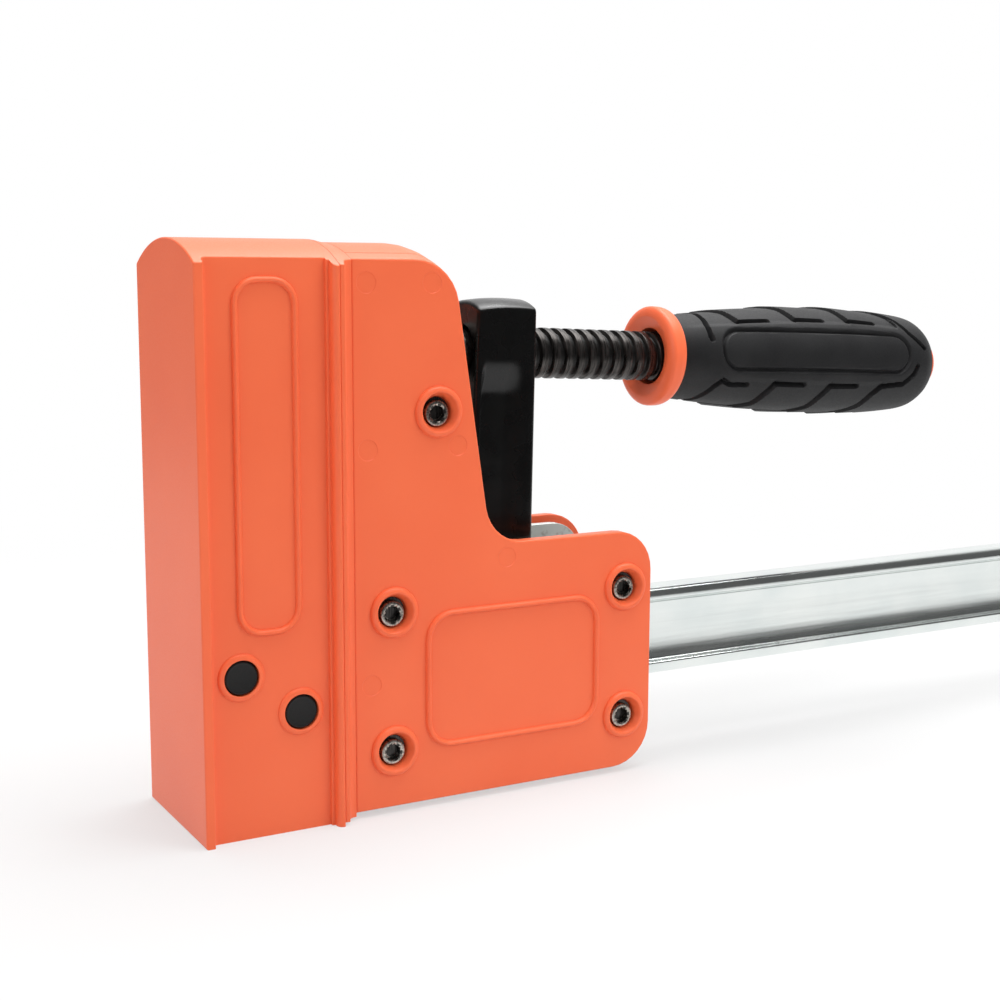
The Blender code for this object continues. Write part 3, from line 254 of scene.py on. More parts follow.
def arm_paint():
    """Thick gloss black paint over a forging, with orange peel and the forging's low waves."""
    material = new_material("arm_paint", (0.003, 0.003, 0.003), 0.20, Coat_Weight=0.15,
                            Coat_Roughness=0.20, Specular_IOR_Level=0.35)
    tree = material.node_tree
    waves, peel = noise(tree, 130.0, 2.0), noise(tree, 900.0, 2.0)
    return rough(material, spread(tree, waves, 0.22, 0.34), (waves, 0.12), (peel, 0.012))


def oxide_steel():
    """Oiled black oxide with scratches round the spindle and a brown tinge."""
    material = new_material("oxide_steel", (0.030, 0.029, 0.028), 0.34, 0.85)
    tree = material.node_tree
    clouds, scratches = noise(tree, 260.0, 4.0), noise(tree, 3200.0, 3.0, (1.0, 0.08, 0.08))
    bare = product(tree, spread(tree, scratches, 0.2, 1.0, 0.42, 0.62), spread(tree, clouds, 0.4, 1.0))
    return dressed(material, bare, ((0.022, 0.020, 0.019), (0.115, 0.106, 0.10)),
                   spread(tree, scratches, 0.24, 0.38), (scratches, 0.012))


def thread_grease():
    """Black grease that fills the root of the thread."""
    material = new_material("thread_grease", (0.004, 0.0035, 0.003), 0.45)
    tree = material.node_tree
    film = noise(tree, 700.0, 3.0)
    return dressed(material, spread(tree, film, 0.0, 1.0), ((0.003, 0.0027, 0.0024), (0.007, 0.006, 0.005)),
                   spread(tree, film, 0.35, 0.55), (film, 0.02))


def dark_steel():
    """Dark oxide on screws and pins, worn to bright metal in places."""
    material = new_material("dark_steel", (0.10, 0.09, 0.08), 0.30, 1.0)
    tree = material.node_tree
    wear = noise(tree, 1700.0, 4.0)
    return dressed(material, spread(tree, wear, 0.0, 1.0, 0.38, 0.60),
                   ((0.20, 0.185, 0.165), (0.62, 0.57, 0.51)), spread(tree, wear, 0.28, 0.40),
                   (wear, 0.006))


def cast_core():
    """Raw grey casting."""
    material = new_material("cast_core", (0.30, 0.30, 0.31), 0.60, 0.9)
    tree = material.node_tree
    sand = noise(tree, 900.0, 5.0)
    return dressed(material, spread(tree, sand, 0.0, 1.0), ((0.24, 0.24, 0.25), (0.36, 0.36, 0.37)),
                   spread(tree, sand, 0.5, 0.7), (sand, 0.15))


def black_plastic():
    """Matt black moulding with a fine grain."""
    material = new_material("black_plastic", (0.010, 0.010, 0.010), 0.55, Specular_IOR_Level=0.35)
    tree = material.node_tree
    grain = noise(tree, 1800.0, 3.0)
    return dressed(material, spread(tree, grain, 0.0, 1.0), ((0.007, 0.007, 0.007), (0.013, 0.013, 0.013)),
                   spread(tree, grain, 0.48, 0.62), (grain, 0.02))


def grip_rubber():
    """Soft matt rubber, slightly greyer where it has been handled."""
    material = new_material("grip_rubber", (0.013, 0.013, 0.014), 0.52, Specular_IOR_Level=0.36)
    tree = material.node_tree
    clouds, grain = noise(tree, 90.0, 3.0), noise(tree, 2400.0, 2.0)
    return dressed(material, spread(tree, clouds, 0.0, 1.0), ((0.010, 0.010, 0.011), (0.016, 0.016, 0.017)),
                   spread(tree, grain, 0.52, 0.66), (grain, 0.015))


FINISHES = {make.__name__: make() for make in (
    orange_plastic, zinc_steel, plate_zinc, arm_paint, oxide_steel, thread_grease, dark_steel,
    cast_core, black_plastic, grip_rubber)}


def arc(a, b, reach, start, end, steps=EDGE_STEPS):
    """Points of an arc about (a, b) between angles in degrees. A pair of reaches makes an ellipse."""
    wide, tall = reach if isinstance(reach, tuple) else (reach, reach)
    turns = (radians(start + (end - start) * step / steps) for step in range(steps + 1))
    return [(a + wide * cos(turn), b + tall * sin(turn)) for turn in turns]


def rim(edge):
    """Stations (distance from an end, inset) of its rounded rim, from the end inwards."""
    return [(edge + back, edge - rise) for back, rise in arc(0, 0, edge, 180, 90)]


def skin(form, ring, following):
    """Faces between two closed rings with equally many points."""
    for i in range(len(ring)):
        j = (i + 1) % len(ring)
        form.faces.new((ring[i], ring[j], following[j], following[i]))


def loft(rings, closed=False):
    """Skin a row of rings, then cap both ends or join last to first."""
    form = bmesh.new()
    rows = [[form.verts.new(point) for point in ring] for ring in rings]
    for row, following in zip(rows, rows[1:] + rows[:1] if closed else rows[1:]):
        skin(form, row, following)
    if not closed:
        form.faces.new(rows[0])
        form.faces.new(list(reversed(rows[-1])))
    return form


def turned(profile, place=Matrix.Identity(4), closed=False, segments=ROUND_SEGMENTS, form=None):
    """Lathe a profile of (along, radius) points about the place's X axis."""
    form = form or bmesh.new()
    rows = []
    for along, radius in profile:
        if radius == 0:
            rows.append([form.verts.new(place @ Vector((along, 0, 0)))])
            continue
        turns = (2 * pi * i / segments for i in range(segments))
        rows.append([form.verts.new(place @ Vector((along, radius * cos(t), radius * sin(t))))
                     for t in turns])
    pairs = list(zip(rows, rows[1:] + rows[:1])) if closed else list(zip(rows, rows[1:]))
    for row, following in pairs:
        for i in range(segments):
            j = (i + 1) % segments
            corners = [row[i % len(row)], row[j % len(row)],
                       following[j % len(following)], following[i % len(following)]]
            form.faces.new(list(dict.fromkeys(corners)))
    return form


def across(x, z, y=0.0):
    """Place whose X axis runs along world Y, for holes, pins and screws across the clamp."""
    return Matrix.Translation((x, y, z)) @ Matrix.Rotation(pi / 2, 4, 'Z')


def rod(low, high, radius, place, form=None):
    """Plain cylinder along the place's X axis, which cuts a bore."""
    return turned([(low, 0), (low, radius), (high, radius), (high, 0)], place, form=form)


def rectangle(low_a, low_b, high_a, high_b, radius=0):
    """Corners of a rectangular outline."""
    return [(low_a, low_b, radius), (high_a, low_b, radius),
            (high_a, high_b, radius), (low_a, high_b, radius)]


def offset(corners, inset):
    """Corners (a, b, radius) of an outline that runs anticlockwise, moved inwards."""
    moved = []
    count = len(corners)
    for i, (a, b, radius) in enumerate(corners):
        here = Vector((a, b))
        along = (here - Vector(corners[i - 1][:2])).normalized()
        ahead = (Vector(corners[(i + 1) % count][:2]) - here).normalized()
        turn = along.x * ahead.y - along.y * ahead.x
        normal = Vector((-along.y, along.x)) + Vector((-ahead.y, ahead.x))
        shift = normal * (2 * inset / normal.length_squared)
        grown = radius - inset if turn > 0 else radius + inset
        moved.append((a + shift.x, b + shift.y, max(grown, WELD) if radius else 0))
    return moved


def rounded(corners, steps=ARC_STEPS):
    """Outline with straight sides, where each corner (a, b, radius) is rounded by an arc."""
    points = []
    count = len(corners)
    for i, (a, b, radius) in enumerate(corners):
        here = Vector((a, b))
        back = (Vector(corners[i - 1][:2]) - here).normalized()
        ahead = (Vector(corners[(i + 1) % count][:2]) - here).normalized()
        if not radius:
            points.append(here)
            continue
        angle = back.angle(ahead)
        centre = here + (back + ahead).normalized() * (radius / sin(angle / 2))
        spoke = here + back * (radius / tan(angle / 2)) - centre
        end = here + ahead * (radius / tan(angle / 2)) - centre
        count_here = max(2, round(steps * (pi - angle) / (pi / 2)))
        sweep = -spoke.angle_signed(end)
        for step in range(count_here + 1):
            points.append(centre + Matrix.Rotation(sweep * step / count_here, 2) @ spoke)
    return points


def ring_at(y, corners, inset=0.0):
    """Rounded outline, moved inwards, as a ring at y."""
    return [(a, y, b) for a, b in rounded(offset(corners, inset))]


def prism(corners, low, high, edge=0.0, place=Matrix.Identity(4)):
    """Extrude an outline (along X, along Z) from low to high along Y, with rounded rims."""
    stations = [(low, 0.0), (high, 0.0)]
    if edge:
        stations = [(low + back, inset) for back, inset in rim(edge)]
        stations += [(high - back, inset) for back, inset in reversed(rim(edge))]
    return loft([[place @ Vector(point) for point in ring_at(y, corners, inset)]
                 for y, inset in stations])


def added(name, data):
    """New object in the scene."""
    made = bpy.data.objects.new(name, data)
    bpy.context.scene.collection.objects.link(made)
    return made


def to_object(name, form, material=None):
    bmesh.ops.recalc_face_normals(form, faces=form.faces[:])
    mesh = bpy.data.meshes.new(name)
    form.to_mesh(mesh)
    form.free()
    if material:
        mesh.materials.append(FINISHES[material])
    return added(name, mesh)


def shaped(made, steps):
    """Join or cut helper shapes, in order, and keep only the result."""
    for operation, form in steps:
        tool = to_object("tool", form)
        change = made.modifiers.new("change", 'BOOLEAN')
        change.operation = operation
        change.solver = 'EXACT'
        change.object = tool
        evaluated = made.evaluated_get(bpy.context.evaluated_depsgraph_get())
        mesh = bpy.data.meshes.new_from_object(evaluated)
        made.modifiers.clear()
        made.data = mesh
        bpy.data.objects.remove(tool)
    return made


def finished(name, form, finish, body, replaced, steps=(), look=None):
    """Make a piece: shape it, shade it with flat walls kept flat, and tie it to its body."""
    made = shaped(to_object(name, form, look or finish), steps)
    made.data.shade_smooth()
    made.data.set_sharp_from_angle(angle=SHARP_ANGLE)
    shading = made.modifiers.new("even_normals", 'WEIGHTED_NORMAL')
    shading.keep_sharp = True
    shading.weight = 100
    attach(made, body)
    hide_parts(*replaced)
    return made


def second_finish(made, finish, chosen):
    """Give another finish to the faces whose centres are chosen."""
    made.data.materials.append(FINISHES[finish])
    for polygon in made.data.polygons:
        if chosen(polygon.center):
            polygon.material_index = 1


def jaw_section(x, half, base, apex, radius, inset=0.0, edge=ARCH_EDGE):
    """Section of a jaw across the bar: flat base, upright sides, barrel-shaped top."""
    base, apex, radius = base + inset, apex - inset, radius - inset
    centre = apex - radius
    fillet = Vector((half - edge, sqrt((radius - edge) ** 2 - (half - edge) ** 2)))
    start = atan2(fillet.y, fillet.x)
    side = [(half, base)]
    for step in range(EDGE_STEPS + 1):
        turn = start * step / EDGE_STEPS
        side.append((fillet.x + edge * cos(turn), centre + fillet.y + edge * sin(turn)))
    for step in range(1, ARCH_STEPS + 1):
        turn = start + (pi / 2 - start) * step / ARCH_STEPS
        side.append((radius * cos(turn), centre + radius * sin(turn)))
    side[-1] = (0.0, centre + radius)
    return [(x, y, z) for y, z in side] + [(x, -y, z) for y, z in reversed(side[:-1])]


def ease(share):
    share = min(1.0, max(0.0, share))
    return share * share * (3 - 2 * share)


def falling_arch(x):
    """Apex and radius of the sliding jaw's face plate, which falls to the covers' height."""
    share = ease((x - JAW_X) / (JAW_END_X - JAW_X))
    return (FIXED_APEX_Z + (JAW_APEX_Z - FIXED_APEX_Z) * share,
            FIXED_ARCH_RADIUS + (JAW_ARCH_RADIUS - FIXED_ARCH_RADIUS) * share)


def frame_bead(low, high, radius, sign):
    """Raised rounded-rectangle bead on a side wall, with soft feet."""
    rings = []
    corners = rectangle(*low, *high, radius)
    for step in range(FRAME_STEPS + 1):
        share = (1 - cos(pi * step / FRAME_STEPS)) / 2
        rise = FRAME_HEIGHT * sin(pi * share) ** FRAME_SIDE - SKIRT
        rings.append(ring_at(sign * (WALL_HALF + rise), corners, FRAME_WIDTH * share))
    rings += [[(a, sign * (WALL_HALF - OVERRUN), b) for a, _, b in rings[k]] for k in (-1, 0)]
    return loft(rings, closed=True)


def boss_profile(sign, foot, crest, height, base):
    """Round boss on a side wall, whose side rises in a quarter ellipse from foot to crest."""
    side = arc(WALL_HALF - SKIRT, crest, (height + SKIRT, foot - crest), 90, 0, ARC_STEPS)
    return [(sign * along, r) for along, r in ((base, 0), (base, foot), *side, (WALL_HALF + height, 0))]


def centre_of(name):
    """Centre (x, z) of a node."""
    low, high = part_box(name)
    return (low.x + high.x) / 2, (low.z + high.z) / 2


def radius_of(name):
    low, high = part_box(name)
    return (high.x - low.x) / 2


SCREWS = {name: centre_of(name + "_screw")
          for name in ("front_upper", "rear_upper", "front_lower", "rear_lower", "top")}
PINS = {name: centre_of(name + "_jaw_pin") for name in ("rear", "front")}


def side_name(sign):
    return "_near" if sign < 0 else "_far"


def build_fixed_jaw():
    bead_end = BACK_X + BACK_BEAD_LENGTH
    stations = [(BACK_X + back, BACK_BEAD_HALF - inset, inset) for back, inset in rim(BACK_EDGE)]
    stations += [(x, half, 0.0) for x, half in (
        *arc(bead_end - BEAD_EDGE, BACK_BEAD_HALF - BEAD_EDGE, BEAD_EDGE, 90, 0),
        *arc(bead_end + BEAD_COVE, WALL_HALF + BEAD_COVE, BEAD_COVE, 180, 270, ARC_STEPS),
        (CAP_X, WALL_HALF))]
    rings = [jaw_section(x, half, 0.0, FIXED_APEX_Z, FIXED_ARCH_RADIUS, inset)
             for x, half, inset in stations]
    bosses, holes = bmesh.new(), bmesh.new()
    for x, z in PINS.values():
        for sign in (-1, 1):
            turned(boss_profile(sign, PLUG_BOSS_RADIUS, PLUG_HOLE_RADIUS + GAP, PLUG_BOSS_HEIGHT,
                                WALL_HALF - OVERRUN), across(x, z), form=bosses)
        rod(-BACK_BEAD_HALF, BACK_BEAD_HALF, PLUG_HOLE_RADIUS, across(x, z), holes)
    cavity = loft([jaw_section(x, WALL_HALF - PLASTIC_WALL, FLOOR_THICKNESS,
                               FIXED_APEX_Z - PLASTIC_WALL, FIXED_ARCH_RADIUS - PLASTIC_WALL)
                   for x in (BACK_X + FLOOR_THICKNESS, CAP_X + OVERRUN)])
    pill = frame_bead((-PILL_WIDTH / 2, PILL_BASE_Z), (PILL_WIDTH / 2, PILL_TOP_Z), PILL_RADIUS, -1)
    finished("fixed_jaw_shell", loft(rings), "orange_plastic", "fixed_jaw", ["fixed_jaw_housing"],
             [('UNION', bosses), ('UNION', pill), ('DIFFERENCE', cavity), ('DIFFERENCE', holes)])


def bar_window(low_x, high_x, margin):
    low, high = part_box("bar")
    return prism(rectangle(low_x, low.z - margin, high_x, high.z + margin),
                 low.y - margin, high.y + margin)


def build_fixed_face():
    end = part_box("fixed_jaw_face")[1].x + CLOSING_GAP
    riser = CAP_X + COLLAR_LENGTH
    stations = [
        *arc(CAP_X + COLLAR_EDGE, COLLAR_HALF - COLLAR_EDGE, COLLAR_EDGE, 180, 90),
        (riser, COLLAR_HALF),
        *arc(riser + FLANGE_ROUND_LENGTH, FLANGE_HALF - FLANGE_ROUND_RISE,
             (FLANGE_ROUND_LENGTH, FLANGE_ROUND_RISE), 180, 90, ARC_STEPS),
        *arc(end - FLANGE_EDGE, FLANGE_HALF - FLANGE_EDGE, FLANGE_EDGE, 90, 0)]
    rings = [jaw_section(x, half, 0.0, FIXED_APEX_Z, FIXED_ARCH_RADIUS) for x, half in stations]
    finished("fixed_face_plate", loft(rings), "orange_plastic", "fixed_jaw", ["fixed_jaw_face"],
             [('DIFFERENCE', bar_window(CAP_X - OVERRUN, end + OVERRUN, GAP))])


def build_jaw_face():
    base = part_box("jaw_face")[0].z
    start, end = JAW_X - CLOSING_GAP, COVER_X - FACE_SEAM
    crest_end = start + JAW_CREST_LENGTH
    foot = JAW_FLANGE_HALF - BEAD_EDGE
    stations = [
        *arc(start + FLANGE_EDGE, JAW_FLANGE_HALF - FLANGE_EDGE, FLANGE_EDGE, 180, 90),
        *arc(crest_end - BEAD_EDGE, foot, BEAD_EDGE, 90, 0),
        *arc(end, foot, (end - crest_end, JAW_COVE_RISE), 180, 270, ARC_STEPS)[1:]]
    rings = [jaw_section(x, half, base, *falling_arch(x)) for x, half in stations]
    finished("jaw_face_plate", loft(rings), "orange_plastic", "sliding_jaw", ["jaw_face"],
             [('DIFFERENCE', bar_window(JAW_X - OVERRUN, JAW_END_X + OVERRUN, 2 * GAP))])


def arch_at(y):
    return JAW_APEX_Z - JAW_ARCH_RADIUS + sqrt(JAW_ARCH_RADIUS ** 2 - y * y)


def slope_x(z):
    """X of the covers' sloping back edge at height z."""
    top = arch_at(WALL_HALF)
    return COVER_TOP_X + (top - z) * (COVER_STEP[0] - COVER_TOP_X) / (top - COVER_STEP[1])


def cover_corners(top):
    return [(COVER_X, COVER_BASE_Z, 0), (COVER_REAR_X, COVER_BASE_Z, COVER_REAR_BASE_RADIUS),
            (COVER_REAR_X, COVER_STEP[1], COVER_REAR_TOP_RADIUS),
            (COVER_STEP[0], COVER_STEP[1], COVER_VALLEY_RADIUS),
            (slope_x(top), top, COVER_TOP_RADIUS), (COVER_X, top, 0)]


def build_cover(sign):
    stations = [(COVER_SEAM_HALF, SEAM_CHAMFER), (COVER_SEAM_HALF + SEAM_CHAMFER, 0.0)]
    stations += [(WALL_HALF - back, inset) for back, inset in reversed(rim(COVER_EDGE))]
    rings = [ring_at(sign * half, cover_corners(arch_at(half)), inset) for half, inset in stations]
    name = "jaw_cover" + side_name(sign)
    bosses, holes = bmesh.new(), bmesh.new()
    seat, top = BOSS_SEAT_HALF, WALL_HALF + BOSS_HEIGHT
    deep = BOSS_HOLE_RADIUS if sign < 0 else NUT_HOLE_RADIUS
    lip = BOSS_CREST_RADIUS - BOSS_MOUTH_RADIUS
    hole = [(seat - OVERRUN, 0), (seat - OVERRUN, BORE_RADIUS), (BOSS_FLOOR_HALF, BORE_RADIUS),
            (BOSS_FLOOR_HALF, deep), (top - BOSS_HOLE_DEPTH, deep)]
    hole += [(along, r) for r, along in arc(BOSS_CREST_RADIUS, top - lip, lip, BOSS_MOUTH_TURN, 90)]
    hole += [(top + OVERRUN, BOSS_CREST_RADIUS), (top + OVERRUN, 0)]
    for x, z in SCREWS.values():
        turned(boss_profile(sign, BOSS_RADIUS, BOSS_CREST_RADIUS, BOSS_HEIGHT, seat), across(x, z),
               form=bosses)
        turned([(sign * along, r) for along, r in hole], across(x, z), form=holes)
    steps = [('UNION', bosses), ('DIFFERENCE', holes)]
    if sign < 0:
        steps.append(('UNION', frame_bead(LABEL_LOW, LABEL_HIGH, LABEL_RADIUS, sign)))
        marks = bmesh.new()
        for x, z in MARK_PLACES:
            turned([(MARK_DEPTH - WALL_HALF, 0), (MARK_DEPTH - WALL_HALF, MARK_RADIUS - MARK_EDGE),
                    (-WALL_HALF, MARK_RADIUS), (-WALL_HALF - OVERRUN, MARK_RADIUS),
                    (-WALL_HALF - OVERRUN, 0)], across(x, z), form=marks)
        steps.append(('DIFFERENCE', marks))
    finished(name + "_shell", loft(rings), "orange_plastic", "sliding_jaw", [name], steps)


# Fasteners
SCREW_HEAD_RADIUS = 3.4 * MM
SCREW_RADIUS = 2.0 * MM
HEAD_SHIFT = (-0.22 * MM, -0.40 * MM)    # how far the heads sit off the bosses' middle, X and Z
KNURL_DEPTH = 0.12 * MM
HEAD_CHAMFER = 0.45 * MM
SOCKET_ACROSS = 3.9 * MM
SOCKET_DEPTH = 1.9 * MM
SOCKET_CHAMFER = 0.25 * MM
SMALL_EDGE = 0.25 * MM
HEX_SEGMENTS = 84                  # points of each ring that is lofted to a hexagon
SCREW_TWIST = radians(11.0)        # by which each hexagon is turned from the one before
NUT_TWIST = radians(13.0)
NUT_ACROSS = 7.0 * MM
PLUG_EDGE = 0.5 * MM
PLUG_DISH = 0.25 * MM


def ring_y(y, radius, x, z, knurled=0.0):
    """Circle about an axis along Y through (x, z), with fine teeth if it is knurled."""
    ring = []
    for i in range(HEX_SEGMENTS):
        reach = radius - (knurled if i % 2 else 0.0)
        turn = 2 * pi * i / HEX_SEGMENTS
        ring.append((x + reach * cos(turn), y, z + reach * sin(turn)))
    return ring


def hexagon_y(y, across_flats, x, z, twist):
    ring = []
    for i in range(HEX_SEGMENTS):
        turn = 2 * pi * i / HEX_SEGMENTS
        reach = across_flats / 2 / cos((turn - twist) % (pi / 3) - pi / 6)
        ring.append((x + reach * cos(turn), y, z + reach * sin(turn)))
    return ring


def build_screw(name, number):
    """Low-head socket screw with a knurled head, and its hexagon turned a little for each."""
    low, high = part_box(name + "_screw")
    x, z = SCREWS[name]
    twist = SCREW_TWIST * number
    face, radius = low.y, SCREW_HEAD_RADIUS
    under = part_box(name + "_washer_near")[0].y - GAP / 2
    socket_corner = SOCKET_ACROSS / 2 / cos(pi / 6)
    rings = [ring_y(high.y, SCREW_RADIUS - SMALL_EDGE, x, z),
             ring_y(high.y - SMALL_EDGE, SCREW_RADIUS, x, z), ring_y(under, SCREW_RADIUS, x, z)]
    x, z = x + HEAD_SHIFT[0], z + HEAD_SHIFT[1]
    rings += [ring_y(under, radius, x, z, KNURL_DEPTH),
              ring_y(face + HEAD_CHAMFER, radius, x, z, KNURL_DEPTH),
              ring_y(face + HEAD_CHAMFER / 3, radius - HEAD_CHAMFER / 3, x, z),
              ring_y(face, radius - HEAD_CHAMFER, x, z),
              ring_y(face, socket_corner + SOCKET_CHAMFER, x, z),
              hexagon_y(face + SOCKET_CHAMFER, SOCKET_ACROSS, x, z, twist),
              hexagon_y(face + SOCKET_DEPTH, SOCKET_ACROSS, x, z, twist)]
    made = finished(name + "_socket_screw", loft(rings), "dark_steel", "sliding_jaw", [name + "_screw"])
    # Painted shade: the socket's walls and floor get the plain dark oxide finish, without the head's bright
    # wear, so that the deep socket reads black
    second_finish(made, "oxide_steel", lambda centre: (
        hypot(centre.x - x, centre.z - z) < socket_corner and centre.y < face + SOCKET_DEPTH + WELD))


PLATE_INSET = 1.6 * MM             # from the covers' outline to the plates'
PLATE_REAR_INSET = 5.0 * MM        # at the rear
PLATE_REAR_RADIUS = 9.0 * MM
PLATE_EDGE = 0.3 * MM


def build_plates():
    """Pressed side plates, with screw holes and the slot for the arm's pin."""
    radius = radius_of("pivot_pin") + GAP
    x, z = centre_of("pivot_pin")
    feed = JOINTS["arm_feed"]["range_m"][1]
    slot = rectangle(x - radius, z - radius, x + feed + radius, z + radius, radius - WELD)
    for sign in (-1, 1):
        name = "side_plate" + side_name(sign)
        low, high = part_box(name)
        corners = offset(cover_corners(high.z + PLATE_INSET), PLATE_INSET)
        for k in (1, 2):
            corners[k] = (COVER_REAR_X - PLATE_REAR_INSET, corners[k][1], PLATE_REAR_RADIUS)
        holes = prism(slot, low.y - OVERRUN, high.y + OVERRUN)
        for place in SCREWS.values():
            rod(low.y - OVERRUN, high.y + OVERRUN, BORE_RADIUS, across(*place), holes)
        finished(name + "_sheet", prism(corners, low.y, high.y, PLATE_EDGE), "zinc_steel",
                 "sliding_jaw", [name], [('DIFFERENCE', holes)], "plate_zinc")


def build_washers_and_nuts():
    for number, (name, (x, z)) in enumerate(SCREWS.items()):
        build_screw(name, number)
        for sign in (-1, 1):
            node_name = name + "_washer" + side_name(sign)
            low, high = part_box(node_name)
            outer = WASHER_RADIUS if sign < 0 else radius_of(node_name)
            edge = (high.y - low.y) / 4
            profile = [(low.y, BORE_RADIUS), (low.y, outer - edge), (low.y + edge, outer),
                       (high.y - edge, outer), (high.y, outer - edge), (high.y, BORE_RADIUS)]
            finished(node_name + "_ring", turned(profile, across(x, z), closed=True),
                     "oxide_steel" if sign < 0 else "zinc_steel", "sliding_jaw", [node_name])
        low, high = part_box(name + "_nut")
        edge = NUT_ACROSS / 2 / cos(pi / 6) - NUT_ACROSS / 2
        twist = NUT_TWIST * number
        rings = [ring_y(low.y, BORE_RADIUS, x, z), hexagon_y(low.y, NUT_ACROSS, x, z, twist),
                 hexagon_y(high.y - edge, NUT_ACROSS, x, z, twist),
                 ring_y(high.y, NUT_ACROSS / 2 - SMALL_EDGE / 2, x, z),
                 ring_y(high.y, BORE_RADIUS + SMALL_EDGE, x, z),
                 ring_y(high.y - SMALL_EDGE, BORE_RADIUS, x, z)]
        finished(name + "_hex_nut", loft(rings, closed=True), "zinc_steel", "sliding_jaw",
                 [name + "_nut"])


def build_plugs():
    for pin, (x, z) in PINS.items():
        for sign in (-1, 1):
            name = pin + "_pin_plug" + side_name(sign)
            near, far = sorted(abs(corner.y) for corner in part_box(name))
            radius = radius_of(name)
            profile = [(near, 0), (near, radius)]
            profile += [(along, r) for r, along in arc(radius - PLUG_EDGE, far - PLUG_EDGE, PLUG_EDGE,
                                                       0, 90)]
            profile += [(far - PLUG_DISH, radius - 2 * PLUG_EDGE), (far - PLUG_DISH, 0)]
            finished(name + "_cap", turned([(sign * a, r) for a, r in profile], across(x, z)),
                     "black_plastic", "fixed_jaw", [name])


def build_spacer():
    """Middle strip between the covers: a cap under the arch and a leg between the plates."""
    low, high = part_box("jaw_spacer")
    wide = high.y
    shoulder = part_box("side_plate_near")[1].z + GAP
    leg_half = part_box("thrust_block")[1].y
    leg_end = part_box("thrust_block")[0].x - GAP
    rings = []
    stations = [(-wide, SEAM_CHAMFER), (-wide + SEAM_CHAMFER, 0.0)]
    stations += [(wide * (2 * k / ARCH_STEPS - 1), 0.0) for k in range(1, ARCH_STEPS)]
    stations += [(wide - SEAM_CHAMFER, 0.0), (wide, SEAM_CHAMFER)]
    for y, inset in stations:
        top = arch_at(y)
        corners = [(COVER_X, shoulder, 0), (slope_x(shoulder), shoulder, 0),
                   (slope_x(top), top, COVER_TOP_RADIUS), (COVER_X, top, 0)]
        rings.append(ring_at(y, corners, inset))
    leg = rectangle(COVER_X, low.z, leg_end, shoulder + OVERRUN)
    finished("jaw_top_strip", loft(rings), "orange_plastic", "sliding_jaw", ["jaw_spacer"],
             [('UNION', prism(leg, -leg_half, leg_half))])


# Bar
BAR_EDGE = 2.6 * MM
BAR_LIP = 3.3 * MM
BAR_SLOPE = 1.6 * MM
BAR_WEB = 6.4 * MM
BAR_HOLLOW = 0.60 * MM
BAR_HOLLOW_POWER = 3               # the web is nearly flat in its middle and curves near its edges
BAR_STEPS = 12


def build_bar():
    """Drawn I-section: thick edges, slopes that run into a slightly hollow web."""
    low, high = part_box("bar")
    side, half = high.y, (high.z - low.z) / 2
    centre = (high.z + low.z) / 2
    web = BAR_WEB / 2
    quarter = arc(side - BAR_EDGE, half - BAR_EDGE, BAR_EDGE, 90, 0, ARC_STEPS)
    lip, foot = half - BAR_LIP, half - BAR_LIP - BAR_SLOPE
    for step in range(BAR_STEPS + 1):
        share = step / BAR_STEPS
        quarter.append((side + (web - side) * ease(share), lip + (foot - lip) * share))
    for step in range(1, BAR_STEPS + 1):
        share = step / BAR_STEPS
        quarter.append((web - BAR_HOLLOW * (1 - (1 - share) ** BAR_HOLLOW_POWER), foot * (1 - share)))
    right = quarter + [(y, -z) for y, z in reversed(quarter[:-1])]
    section = right + [(-y, z) for y, z in reversed(right)]
    rings = [[(x, y, centre + z) for y, z in section] for x in (low.x, high.x)]
    holes = bmesh.new()
    for name in ("front_jaw_pin", "rear_jaw_pin", "foot_pin"):
        rod(-side - OVERRUN, side + OVERRUN, radius_of(name) + GAP, across(*centre_of(name)), holes)
    finished("bar_rail", loft(rings), "zinc_steel", "fixed_jaw", ["bar"], [('DIFFERENCE', holes)])


# Arm, spindle and handle, in the arm's tilted frame
PIVOT = Vector(JOINTS["arm_rock"]["pos_m"])
SPINDLE_POINT = Vector(JOINTS["spindle_turn"]["pos_m"])
SPINDLE_AXIS = -Vector(JOINTS["spindle_turn"]["axis"])
ARM_UP = Vector((-SPINDLE_AXIS.z, 0, SPINDLE_AXIS.x))
ARM_PLACE = Matrix.Translation(PIVOT) @ Matrix((
    (SPINDLE_AXIS.x, 0, ARM_UP.x), (0, 1, 0), (SPINDLE_AXIS.z, 0, ARM_UP.z))).to_4x4()
SPINDLE_HEIGHT = (SPINDLE_POINT - PIVOT).length
SPINDLE_PLACE = ARM_PLACE @ Matrix.Translation((0, 0, SPINDLE_HEIGHT))
ARM_HALF_DEPTH = 9.2 * MM
ARM_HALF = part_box("clamp_arm")[1].y
ARM_CREST = 14.75 * MM             # above the spindle's axis, halfway along the top
ARM_CREST_FALL = 0.6 * MM          # towards the front and rear
ARM_CREST_SLOPE = 0.05             # rise of the top towards the rear
ARM_CROWN_RADIUS = 20.0 * MM
ARM_FLARE = 1.7 * MM               # by how much the rear side stands out near the covers
ARM_FLARE_SPAN = (2.0 * MM, 9.0 * MM)    # heights above the pivot between which it starts
ARM_TOP_EDGE = 1.3 * MM
ARM_EDGE = 1.1 * MM
ARM_FOOT_RADIUS = 6.0 * MM
ARM_FOOT_STEPS = 10
ARM_BASE = 44.65 * MM              # below the pivot
PIVOT_BORE = 3.3 * MM
POCKET_DEPTH = 3.0 * MM
POCKET_FRONT = -7.6 * MM           # along the spindle
POCKET_REAR = 7.8 * MM
POCKET_FRONT_RAMP = 1.9 * MM
POCKET_REAR_RAMP = 6.4 * MM
POCKET_TOP_RAMP = 11.0 * MM
POCKET_BASE_RAMP = 6.0 * MM
POCKET_TOP_BELOW_SPINDLE = 1.2 * MM
